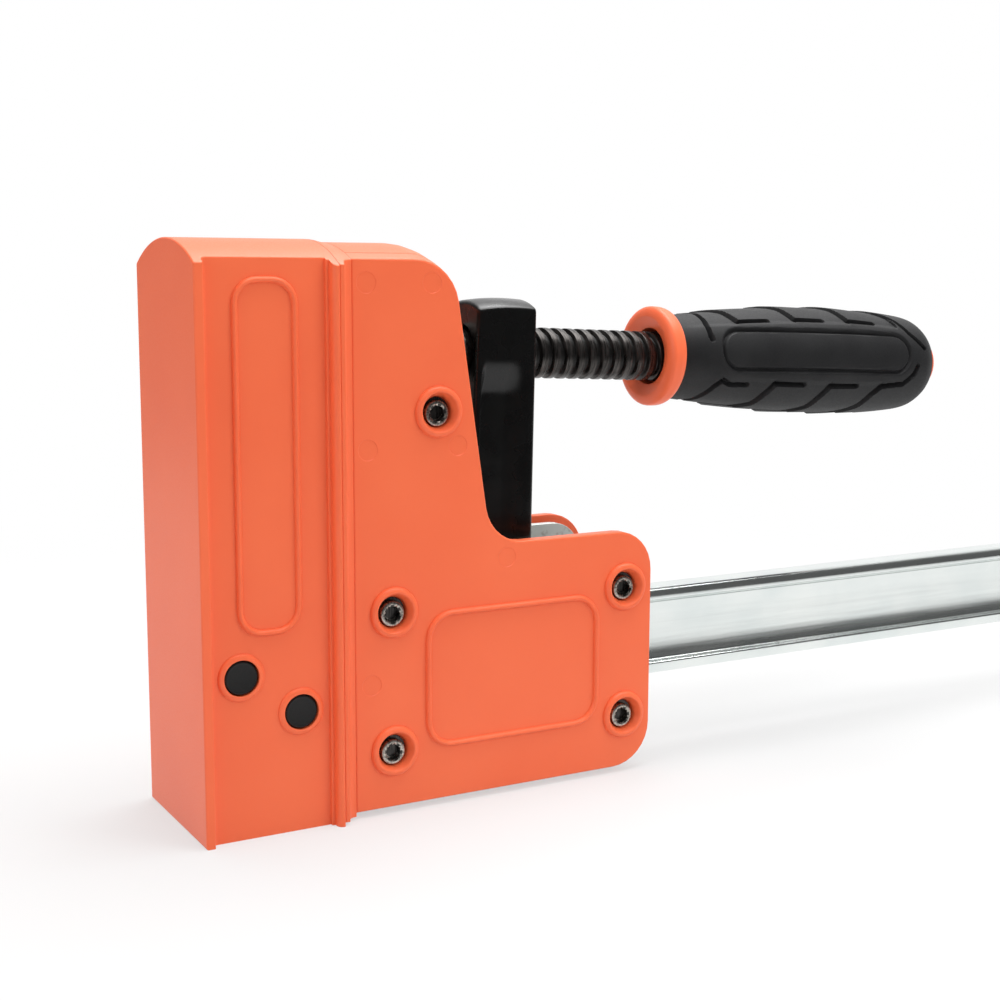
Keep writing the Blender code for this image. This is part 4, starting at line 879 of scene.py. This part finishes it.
POCKET_BASE_ABOVE_PIVOT = 4.0 * MM
POCKET_STEPS = (48, 90)
WINDOW_SIDE_GAP = 0.5 * MM
WINDOW_PLAY = 0.8 * MM
THREAD_RADIUS = 7.15 * MM


def pocket_form(sign):
    """Cutter whose inner side is the soft floor of one of the arm's pockets."""
    low, high = POCKET_BASE_ABOVE_PIVOT, SPINDLE_HEIGHT - POCKET_TOP_BELOW_SPINDLE
    columns, rows = POCKET_STEPS
    form = bmesh.new()
    grid = []
    for j in range(rows + 1):
        z = low + (high - low) * j / rows
        end = ease((high - z) / POCKET_TOP_RAMP) * ease((z - low) / POCKET_BASE_RAMP)
        line = []
        for i in range(columns + 1):
            x = POCKET_FRONT + (POCKET_REAR - POCKET_FRONT) * i / columns
            side = (ease((x - POCKET_FRONT) / POCKET_FRONT_RAMP)
                    * ease((POCKET_REAR - x) / POCKET_REAR_RAMP))
            depth = POCKET_DEPTH * side * end - SKIRT
            line.append(form.verts.new(ARM_PLACE @ Vector((x + arm_flare(x, z),
                                                           sign * (ARM_HALF - depth), z))))
        grid.append(line)
    for line, above in zip(grid, grid[1:]):
        for i in range(columns):
            form.faces.new((line[i], line[i + 1], above[i + 1], above[i]))
    border = grid[0][:-1] + [line[-1] for line in grid[:-1]] + grid[-1][:0:-1]
    border += [line[0] for line in reversed(grid[1:])]
    outer = [form.verts.new(vert.co + Vector((0, sign * 2 * OVERRUN, 0))) for vert in border]
    skin(form, border, outer)
    form.faces.new(outer)
    return form


def arm_section(along, inset):
    """Section of the arm across the spindle: rounded foot, upright sides, crowned top."""
    into_foot = max(0.0, abs(along) - (ARM_HALF_DEPTH - ARM_FOOT_RADIUS))
    base = -ARM_BASE + ARM_FOOT_RADIUS - sqrt(max(0.0, ARM_FOOT_RADIUS ** 2 - into_foot ** 2))
    crest = SPINDLE_HEIGHT + ARM_CREST - ARM_CREST_FALL * (along / ARM_HALF_DEPTH) ** 2
    crest += ARM_CREST_SLOPE * along
    ring = jaw_section(along, ARM_HALF - inset, base, crest - inset, ARM_CROWN_RADIUS,
                       edge=ARM_TOP_EDGE)
    levels = [ARM_FLARE_SPAN[0] + (ARM_FLARE_SPAN[1] - ARM_FLARE_SPAN[0]) * k / EDGE_STEPS
              for k in range(EDGE_STEPS + 1)]
    half = ARM_HALF - inset
    ring = (ring[:1] + [(along, half, z) for z in levels] + ring[1:-1]
            + [(along, -half, z) for z in reversed(levels)] + ring[-1:])
    return [ARM_PLACE @ Vector((x + arm_flare(x, z), y, z)) for x, y, z in ring]


def arm_flare(x, z):
    """How far a point of the arm moves to the rear, most low down on the rear side."""
    low, high = ARM_FLARE_SPAN
    rise = max(0.0, (SPINDLE_HEIGHT - z) / (SPINDLE_HEIGHT - high)) if z > high else ease(
        (z - low) / (high - low))
    return ARM_FLARE * rise * max(0.0, x / ARM_HALF_DEPTH)


def build_arm():
    half = ARM_HALF_DEPTH
    flat = half - ARM_EDGE
    stations = [(-half + back, inset) for back, inset in rim(ARM_EDGE)]
    stations += [(flat * (2 * k / ARM_FOOT_STEPS - 1), 0.0) for k in range(1, ARM_FOOT_STEPS)]
    stations += [(half - back, inset) for back, inset in reversed(rim(ARM_EDGE))]
    body = loft([arm_section(along, inset) for along, inset in stations])
    bar_low, bar_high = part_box("bar")
    window_half = (bar_high.z - bar_low.z) / 2 + WINDOW_PLAY
    centre = (bar_high.z + bar_low.z) / 2 - PIVOT.z
    reach = half + OVERRUN
    side = bar_high.y + WINDOW_SIDE_GAP
    window = prism(rectangle(-reach, centre - window_half, reach, centre + window_half), -side, side,
                   place=ARM_PLACE)
    bore = rod(-reach, reach, THREAD_RADIUS + GAP, SPINDLE_PLACE)
    pivot = rod(-2 * ARM_HALF, 2 * ARM_HALF, PIVOT_BORE, across(PIVOT.x, PIVOT.z))
    finished("forged_arm", body, "arm_paint", "arm", ["clamp_arm"],
             [('DIFFERENCE', form) for form in (pocket_form(-1), pocket_form(1), bore, window, pivot)])


# Spindle, swivel pad and handle, along the spindle's axis from the pivot's plane
THREAD_ROOT = 5.9 * MM
THREAD_PITCH = 4.0 * MM
THREAD_TURNS = 15
THREAD_START_S = -8.6 * MM
THREAD_SEGMENTS = 48
THREAD_PROFILE = ((0.0, 0.0), (0.05, 0.1), (0.11, 0.75), (0.15, 0.95), (0.2, 1.0), (0.58, 1.0),
                  (0.63, 0.95), (0.67, 0.75), (0.73, 0.1), (0.78, 0.0))   # share of pitch, of depth
GREASE_DEPTH = 0.2 * MM
RISE_POINTS = 5                    # points of the profile up to its crest
THREAD_RUN_OUT = 0.25              # share of a pitch from the thread to the plain ring at each end
THREAD_RISE = 0.5                  # turns in which it rises at the tip and its groove ends at the shank
SHANK_RADIUS = 7.9 * MM
SHANK_END_S = 92.0 * MM
SHANK_EDGE = 0.5 * MM
PAD_NECK_S = -10.3 * MM
PAD_LIP_S = -11.7 * MM
TIP_END_S = -14.7 * MM
COLLAR_START_S = 51.8 * MM
COLLAR_WIDTH = 5.7 * MM
COLLAR_RADIUS = 14.5 * MM
COLLAR_NOSE = (1.7 * MM, 2.7 * MM)       # rounded front of the rim, along and across the axis
COLLAR_BACK = (2.6 * MM, 1.5 * MM)       # and its back
COLLAR_DISH = 1.3 * MM
TUBE_RADIUS = 10.0 * MM
HANDLE_END_S = 160.2 * MM
END_DISC_RADIUS = 8.2 * MM
END_DISC_LENGTH = 6.0 * MM
END_DISC_CROWN = 0.6 * MM
TIP_NECK = 3.3 * MM
TIP_RADIUS = 4.5 * MM
HANDLE_SEGMENTS = 96


def around(s, radius, turns):
    """Point of a right-hand helix about the spindle's axis, counted in turns from the top."""
    return SPINDLE_PLACE @ Vector((s, -radius * sin(2 * pi * turns), radius * cos(2 * pi * turns)))


def ring_around(form, s, radius):
    return [form.verts.new(around(s, radius, i / THREAD_SEGMENTS)) for i in range(THREAD_SEGMENTS)]


def extend(form, ring, profile):
    """Carry a ring on through (s, radius) stations and close it on the axis."""
    for s, radius in profile:
        fresh = ring_around(form, s, radius)
        skin(form, ring, fresh)
        ring = fresh
    form.faces.new(ring)


def thread(form):
    """Helical thread that rises from a plain ring and whose groove runs out into another."""
    count = THREAD_SEGMENTS
    total = THREAD_TURNS * count
    depth = THREAD_RADIUS - THREAD_ROOT

    def point(i, share, height):
        height *= ease(i / count / THREAD_RISE)
        height = 1 - (1 - height) * ease((total - i) / count / THREAD_RISE)
        s = THREAD_START_S + THREAD_PITCH * (i / count + share)
        return form.verts.new(around(s, THREAD_ROOT + depth * height, i / count))

    rows = [[point(i, *station) for station in THREAD_PROFILE] for i in range(total + 1)]
    rise = [(1.0 + share, height) for share, height in THREAD_PROFILE[:RISE_POINTS]]
    tails = {i: [point(i, *station) for station in rise]
             for i in range(total - count + 1, total + 1)}

    def beyond(i):
        return rows[i + count][0] if i + count <= total else tails[i][0]

    for i in range(total):
        for j in range(len(THREAD_PROFILE) - 1):
            form.faces.new((rows[i][j], rows[i][j + 1], rows[i + 1][j + 1], rows[i + 1][j]))
        form.faces.new((rows[i][-1], beyond(i), beyond(i + 1), rows[i + 1][-1]))
    ends = [rows[total][:RISE_POINTS]] + [tails[total - count + i] for i in range(1, count + 1)]
    for end, following in zip(ends, ends[1:]):
        for j in range(RISE_POINTS - 1):
            form.faces.new((end[j], end[j + 1], following[j + 1], following[j]))
    first = ring_around(form, THREAD_START_S - THREAD_PITCH * THREAD_RUN_OUT, THREAD_ROOT)
    end_s = THREAD_START_S + THREAD_PITCH * (THREAD_TURNS + 1 + THREAD_RUN_OUT)
    last = ring_around(form, end_s, THREAD_RADIUS)
    for i in range(count):
        j = (i + 1) % count
        if j:
            form.faces.new((first[i], first[j], rows[j][0], rows[i][0]))
        else:
            form.faces.new((first[i], first[j], *rows[0], rows[count][0], rows[i][0]))
        edge = [ends[i][-1], ends[i + 1][-1], last[j], last[i]]
        if i == 0:
            edge[0:1] = [*reversed(ends[count]), *reversed(rows[total][RISE_POINTS - 1:])]
        form.faces.new(edge)
    return first, last, end_s


def build_spindle():
    form = bmesh.new()
    first, last, shank_s = thread(form)
    edge = SHANK_EDGE
    extend(form, first, [(PAD_NECK_S + edge, THREAD_ROOT), (PAD_NECK_S, THREAD_ROOT - edge),
                         (PAD_NECK_S, TIP_NECK), (PAD_LIP_S, TIP_NECK), (PAD_LIP_S, TIP_RADIUS),
                         (TIP_END_S + edge, TIP_RADIUS), (TIP_END_S, TIP_RADIUS - edge)])
    extend(form, last, [(shank_s + edge, THREAD_RADIUS), (shank_s + 2 * edge, SHANK_RADIUS),
                        (SHANK_END_S - edge, SHANK_RADIUS), (SHANK_END_S, SHANK_RADIUS - edge)])
    to_axis = SPINDLE_PLACE.inverted()

    def in_groove(centre):
        s, y, z = to_axis @ centre
        return hypot(y, z) < THREAD_ROOT + GREASE_DEPTH and THREAD_START_S < s < shank_s

    made = finished("threaded_spindle", form, "oxide_steel", "screw", ["spindle"])
    second_finish(made, "thread_grease", in_groove)


def build_core():
    """Orange core of the handle: collar with a dished front, tube and end disc."""
    start, end = COLLAR_START_S, COLLAR_START_S + COLLAR_WIDTH
    bore, floor = SHANK_RADIUS + GAP, start + COLLAR_DISH
    disc = HANDLE_END_S - END_DISC_LENGTH
    profile = [
        (SHANK_END_S + GAP, 0), (SHANK_END_S + GAP, bore),
        (floor + SMALL_EDGE, bore), (floor, bore + SMALL_EDGE),
        *arc(start + COLLAR_NOSE[0], COLLAR_RADIUS - COLLAR_NOSE[1], COLLAR_NOSE,
             180 + 90 / ARC_STEPS, 90, ARC_STEPS + 1),
        *arc(end - COLLAR_BACK[0], COLLAR_RADIUS - COLLAR_BACK[1], COLLAR_BACK, 90, 0, ARC_STEPS),
        (end, TUBE_RADIUS), (disc, TUBE_RADIUS), (disc, END_DISC_RADIUS),
        (HANDLE_END_S - END_DISC_CROWN - SMALL_EDGE, END_DISC_RADIUS),
        (HANDLE_END_S - END_DISC_CROWN, END_DISC_RADIUS - SMALL_EDGE),
        (HANDLE_END_S, END_DISC_RADIUS / 2), (HANDLE_END_S, 0)]
    finished("handle_body", turned(profile, SPINDLE_PLACE, segments=HANDLE_SEGMENTS), "orange_plastic",
             "screw", ["handle_core"])


# Grip, whose tables hold millimetres along the spindle and degrees from its top to the near side
GRIP_START_S = 57.8 * MM
GRIP_END_S = 158.4 * MM
GRIP_LENGTH = GRIP_END_S - GRIP_START_S
GRIP_RADIUS = 16.65 * MM
GRIP_LENGTH_SHARES = (0.0, 0.06, 0.11, 0.18, 0.28, 0.39, 0.51, 0.625, 0.745, 0.852, 0.921, 0.96,
                      0.985, 1.0)
GRIP_RADIUS_SHARES = (0.738, 0.78, 0.82, 0.868, 0.928, 0.975, 0.996, 1.0, 0.972, 0.925, 0.865, 0.75,
                      0.61, 0.51)
GRIP_SEGMENTS = 360
GRIP_STEPS = 330
GRIP_SIDES = 2                     # how often the pattern repeats round the grip
GROOVE_HALF_WIDTH = 0.62 * MM
GROOVE_DEPTH = 1.9 * MM
GROOVE_POWER = 0.6                 # of the grooves' section, below 1 for steep walls
GROOVE_REACH = 1.35                # where a groove's wall meets the surface, in half widths
PANEL_GROOVE_REACH = 1.3
PANEL_MIDDLE = 77.0                # degrees
PANEL_ENDS = (71.0, 142.4)
PANEL_HALF_HEIGHT = 6.2            # millimetres along the surface
PANEL_GROOVE_DEPTH = 0.9 * MM
PANEL_SINK = 0.25 * MM
TREAD_FALL = 0.6 * MM              # of each block from one groove to the next
TREAD_FADE = 6.0                   # degrees in which the blocks fade out beside the panel
UPPER_TREAD = ((0.0, 40.5), (-1.3, 29.0), (-2.2, 16.0), (-4.0, 6.0), (-7.0, -5.0), (-10.0, -13.0))
UPPER_TREAD_STARTS = (57.3, 78.0, 98.7, 119.4, 140.1)     # the first and last have END_TREADS
LOWER_TREAD = ((0.0, 115.5), (-2.4, 132.0), (-3.9, 150.0), (-7.2, 161.0), (-9.0, 167.0))
LOWER_TREAD_STARTS = (71.8, 90.1, 110.8, 131.5)
TREAD_RUN = 10.6                   # of each groove along the panel
END_TREADS = (
    ((149.5, 69.0), (143.9, 51.0), (140.6, 31.0), (137.5, 16.0), (134.0, 5.0), (130.5, -5.0)),
    ((145.9, 91.0), (144.4, 102.0), (140.6, 113.0), (131.7, 115.5), (128.9, 127.0), (127.0, 145.0),
     (124.0, 158.0), (121.0, 166.0)),
    ((80.4, 120.0), (74.6, 121.5), (71.6, 116.0), (69.5, 126.0), (67.7, 141.0), (65.9, 158.0),
     (63.5, 166.0)),
    ((67.2, 65.0), (66.9, 55.0), (67.1, 41.0), (67.4, 24.0), (67.2, 8.0), (65.0, -4.0)),
)


def grip_radius(share):
    """Radius of the plain grip at a share of its length, on a smooth curve through its stations."""
    lengths, radii = GRIP_LENGTH_SHARES, GRIP_RADIUS_SHARES
    i = max(k for k in range(len(lengths) - 1) if share >= lengths[k])

    def slope(k):
        low, high = max(0, k - 1), min(len(lengths) - 1, k + 1)
        return (radii[high] - radii[low]) / (lengths[high] - lengths[low])

    width = lengths[i + 1] - lengths[i]
    t = (share - lengths[i]) / width
    blend = (radii[i] * (1 + 2 * t) * (1 - t) ** 2 + slope(i) * width * t * (1 - t) ** 2
             + radii[i + 1] * t * t * (3 - 2 * t) - slope(i + 1) * width * t * t * (1 - t))
    return GRIP_RADIUS * blend


def tread_lines():
    lines = []
    for tread, starts in ((UPPER_TREAD, UPPER_TREAD_STARTS), (LOWER_TREAD, LOWER_TREAD_STARTS)):
        lines += [[(start + s, turn) for s, turn in ((TREAD_RUN, tread[0][1]), *tread)]
                  for start in starts[1:-1]]
    return lines + [list(line) for line in END_TREADS]


def block_fall(s, angle):
    """Fall of the tread's blocks, each highest just behind its groove."""
    fall = np.zeros(s.shape)
    for tread, starts, sign in ((UPPER_TREAD, UPPER_TREAD_STARTS, -1),
                                (LOWER_TREAD, LOWER_TREAD_STARTS, 1)):
        along, turns = zip(*sorted(tread, key=lambda point: point[1]))
        blocks = np.interp(s / MM - np.interp(angle, turns, along), starts, range(len(starts)))
        beyond = np.clip(sign * (angle - tread[0][1]) / TREAD_FADE + 1.0, 0.0, 1.0)
        fall += TREAD_FALL * beyond * (blocks % 1.0)
    return fall


def distance_to_line(s, v, line, radius):
    """Distance in metres from points (s, v) on the unrolled surface to a line of (mm, degrees)."""
    nearest = np.full(s.shape, np.inf)
    points = [(a * MM, radians(turn - PANEL_MIDDLE) * radius) for a, turn in line]
    for (s0, v0), (s1, v1) in zip(points, points[1:]):
        ds, dv = s1 - s0, v1 - v0
        along = np.clip(((s - s0) * ds + (v - v0) * dv) / (ds * ds + dv * dv), 0.0, 1.0)
        nearest = np.minimum(nearest, np.hypot(s - s0 - along * ds, v - v0 - along * dv))
    return nearest


def grip_sink():
    """How deep each point of the grip lies under its plain surface: grooves and the bare panel."""
    share = np.linspace(0.0, 1.0, GRIP_STEPS + 1)
    radii = np.array([grip_radius(t) for t in share])[:, None]
    s = (GRIP_START_S + GRIP_LENGTH * share)[:, None]
    turns = 2 * pi * np.arange(GRIP_SEGMENTS) / GRIP_SEGMENTS - radians(PANEL_MIDDLE)
    period = 2 * pi / GRIP_SIDES
    turns = ((turns + period / 2) % period - period / 2)[None, :]
    v = turns * radii
    s, radii = np.broadcast_to(s, v.shape), np.broadcast_to(radii, v.shape)
    sink = block_fall(s, np.broadcast_to(np.degrees(turns) + PANEL_MIDDLE, v.shape))
    for line in tread_lines():
        middle_share = (line[1][0] * MM - GRIP_START_S) / GRIP_LENGTH
        mean_radius = grip_radius(min(1.0, max(0.0, middle_share)))
        reach = distance_to_line(s, turns * mean_radius, line, mean_radius) / GROOVE_HALF_WIDTH
        wall = np.clip(GROOVE_REACH - reach, 0.0, 1.0) ** GROOVE_POWER
        sink = np.maximum(sink, GROOVE_DEPTH * wall)
    low, high = (a * MM for a in PANEL_ENDS)
    half = PANEL_HALF_HEIGHT * MM
    middle = np.clip(s, low + half, high - half)
    edge = half - np.hypot(s - middle, v)
    panel = PANEL_SINK * np.clip(edge / (2 * GROOVE_HALF_WIDTH) + 1.0, 0.0, 1.0)
    groove = np.clip(PANEL_GROOVE_REACH - np.abs(edge) / GROOVE_HALF_WIDTH, 0.0, 1.0)
    return np.maximum(sink, panel + PANEL_GROOVE_DEPTH * groove)


def build_grip():
    """Rubber grip: its patterned outside, its rear end round the orange disc, and its bore."""
    stations = []
    for k, sinks in enumerate(grip_sink()):
        share = k / GRIP_STEPS
        radius = grip_radius(share)
        stations.append((GRIP_START_S + GRIP_LENGTH * share, [radius - float(sink) for sink in sinks]))
    seat = HANDLE_END_S - END_DISC_LENGTH + GAP
    for s, radius in ((GRIP_END_S, END_DISC_RADIUS + GAP), (seat, END_DISC_RADIUS + GAP),
                      (seat, TUBE_RADIUS + GAP), (GRIP_START_S, TUBE_RADIUS + GAP)):
        stations.append((s, [radius] * GRIP_SEGMENTS))
    turns = [2 * pi * i / GRIP_SEGMENTS for i in range(GRIP_SEGMENTS)]
    rings = [[SPINDLE_PLACE @ Vector((s, -reach * sin(turn), reach * cos(turn)))
              for turn, reach in zip(turns, reaches)] for s, reaches in stations]
    finished("rubber_grip", loft(rings, closed=True), "grip_rubber", "screw", ["grip"])


# Pieces of the frame that keep their shape
KEPT = {
    "dark_steel": ["thrust_block", "pivot_pin", "swivel_pad", "handle_pin", "foot_pin",
                   "front_jaw_pin", "rear_jaw_pin", "front_upper_sleeve", "rear_upper_sleeve",
                   "front_lower_sleeve", "rear_lower_sleeve"],
    "cast_core": ["fixed_jaw_core"],
    "black_plastic": ["bar_end_foot"],
}


def dress_kept_nodes():
    for finish, names in KEPT.items():
        for name in names:
            kept = frame["nodes"][name]
            kept.data.materials.clear()
            kept.data.materials.append(FINISHES[finish])
            kept.data.shade_smooth()
            kept.data.set_sharp_from_angle(angle=SHARP_ANGLE)
            shading = kept.modifiers.new("even_normals", 'WEIGHTED_NORMAL')
            shading.keep_sharp = True


# Camera, floor and light
CAMERA_PLACE = Vector((-137.2, -378.6, 141.0)) * MM
CAMERA_YAW = 0.5148
CAMERA_PITCH = 0.1441
CAMERA_ROLL = 0.0037
CAMERA_LENS = 56.24
CAMERA_SENSOR = 36.0
CAMERA_NEAR = 0.01


def build_camera():
    forward = Vector((sin(CAMERA_YAW) * cos(CAMERA_PITCH), cos(CAMERA_YAW) * cos(CAMERA_PITCH),
                      -sin(CAMERA_PITCH)))
    level = Vector((cos(CAMERA_YAW), -sin(CAMERA_YAW), 0))
    upright = level.cross(forward)
    right = level * cos(CAMERA_ROLL) + upright * sin(CAMERA_ROLL)
    up = upright * cos(CAMERA_ROLL) - level * sin(CAMERA_ROLL)
    data = bpy.data.cameras.new("camera")
    data.lens = CAMERA_LENS
    data.sensor_width = CAMERA_SENSOR
    data.sensor_height = CAMERA_SENSOR
    data.sensor_fit = 'HORIZONTAL'
    data.clip_start = CAMERA_NEAR
    camera = added("camera", data)
    turn = Matrix((right, up, -forward)).transposed().to_4x4()
    camera.matrix_world = Matrix.Translation(CAMERA_PLACE) @ turn
    bpy.context.scene.camera = camera


def by_ray(tree, output, seen, mirrored, lighting):
    """Show one shader to the camera, one in reflections, and let one light the clamp."""
    path = tree.nodes.new("ShaderNodeLightPath").outputs
    unseen = node(tree, "ShaderNodeMixShader", [path["Is Glossy Ray"], lighting, mirrored]).outputs[0]
    surface = node(tree, "ShaderNodeMixShader", [path["Is Camera Ray"], unseen, seen]).outputs[0]
    node(tree, output, [surface])


def new_tree(owner):
    """Empty node tree of a material or a world."""
    owner.use_nodes = True
    owner.node_tree.nodes.clear()
    return owner.node_tree


FLOOR_HALF = 6.0
FLOOR_DROP = 0.02 * MM
FLOOR_BOUNCE = 0.62                # grey of the floor as the clamp is lit by it
FLOOR_SHADE = 0.66                 # grey that turns white under the lamps, for the shadow's depth
SHADOW_SHARES = (0.55, 1.0)        # share of plain white, near the clamp and far from it
SHADOW_REACH = (0.22, 0.50)        # distances between which the shadow fades out
FLOOR_FRONT = (-0.30, -0.19)       # Y where the white paper under the clamp ends in front
FLOOR_BACK = (0.60, 0.95)          # and behind it
PAPER_END = 0.06                   # brightness in front of the paper
PAPER_REAR_END = 0.4               # and behind it


def build_floor():
    """Pale floor: white to the camera, with a soft shadow, and a sheet of white in reflections."""
    form = bmesh.new()
    bmesh.ops.create_grid(form, x_segments=1, y_segments=1, size=FLOOR_HALF)
    floor = to_object("floor", form)
    floor.location.z = -FLOOR_DROP
    material = bpy.data.materials.new("floor_white")
    tree = new_tree(material)
    place = tree.nodes.new("ShaderNodeTexCoord").outputs["Object"]
    along = node(tree, "ShaderNodeSeparateXYZ", [place]).outputs["Y"]
    reach = node(tree, "ShaderNodeVectorMath", [place], operation='LENGTH').outputs["Value"]
    paper = product(tree, spread(tree, along, PAPER_END, 1.0, *FLOOR_FRONT, 'SMOOTHSTEP'),
                    spread(tree, along, 1.0, PAPER_REAR_END, *FLOOR_BACK, 'SMOOTHSTEP'))
    fade = spread(tree, reach, *SHADOW_SHARES, *SHADOW_REACH, 'SMOOTHSTEP')
    bounce, shade = (node(tree, "ShaderNodeBsdfDiffuse", color=(grey, grey, grey, 1.0)).outputs[0]
                     for grey in (FLOOR_BOUNCE, FLOOR_SHADE))
    white = node(tree, "ShaderNodeEmission", strength=1.0).outputs[0]
    mirror = tree.nodes.new("ShaderNodeEmission")
    tree.links.new(paper, mirror.inputs["Strength"])
    seen = node(tree, "ShaderNodeMixShader", [fade, shade, white]).outputs[0]
    by_ray(tree, "ShaderNodeOutputMaterial", seen, mirror.outputs[0], bounce)
    floor.data.materials.append(material)


ROOM_LIGHT = 0.52
MIRROR_BRIGHT = (0.60, 0.75, 0.28)       # direction of the bright wall that metal and gloss show
MIRROR_SHARES = (0.10, 1.0)              # brightness facing away from it and towards it
MIRROR_TURN = (0.40, 0.90)               # cosines between which one turns to the other


def build_world():
    """White to the camera, an even room as light, and a bright wall behind in reflections."""
    world = bpy.data.worlds.new("studio")
    bpy.context.scene.world = world
    tree = new_tree(world)
    place = tree.nodes.new("ShaderNodeTexCoord").outputs["Generated"]
    facing = node(tree, "ShaderNodeVectorMath", [place], operation='DOT_PRODUCT')
    facing.inputs[1].default_value = MIRROR_BRIGHT
    white, mirror, room = (node(tree, "ShaderNodeBackground", color=(1, 1, 1, 1), strength=strength)
                           for strength in (1.0, 1.0, ROOM_LIGHT))
    bright = spread(tree, facing.outputs["Value"], *MIRROR_SHARES, *MIRROR_TURN, 'SMOOTHSTEP')
    tree.links.new(bright, mirror.inputs["Strength"])
    by_ray(tree, "ShaderNodeOutputWorld", white.outputs[0], mirror.outputs[0], room.outputs[0])


LAMPS = {                          # place, side of the square, power, whether metal reflects it
    "top": ((0.28, 0.06, 1.00), 0.9, 13.5, True),
    "right": ((0.80, -0.85, 0.70), 0.5, 4.6, False),
    "left": ((-0.95, -0.20, 0.50), 0.5, 2.6, True),
}
LAMP_TARGET = Vector((0.08, 0.0, 0.08))


def build_lamps():
    for name, (place, size, power, reflected) in LAMPS.items():
        data = bpy.data.lights.new(name, 'AREA')
        data.size = size
        data.energy = power
        lamp = added(name, data)
        lamp.location = place
        lamp.visible_glossy = reflected
        aim = LAMP_TARGET - Vector(place)
        lamp.rotation_euler = aim.to_track_quat('-Z', 'Y').to_euler()


def main():
    bpy.context.scene.view_settings.view_transform = 'Standard'
    build_camera()
    build_floor()
    build_world()
    build_lamps()
    build_fixed_jaw()
    build_fixed_face()
    build_plugs()
    build_jaw_face()
    for sign in (-1, 1):
        build_cover(sign)
    build_spacer()
    build_washers_and_nuts()
    build_plates()
    build_bar()
    build_arm()
    build_spindle()
    build_core()
    build_grip()
    dress_kept_nodes()


main()
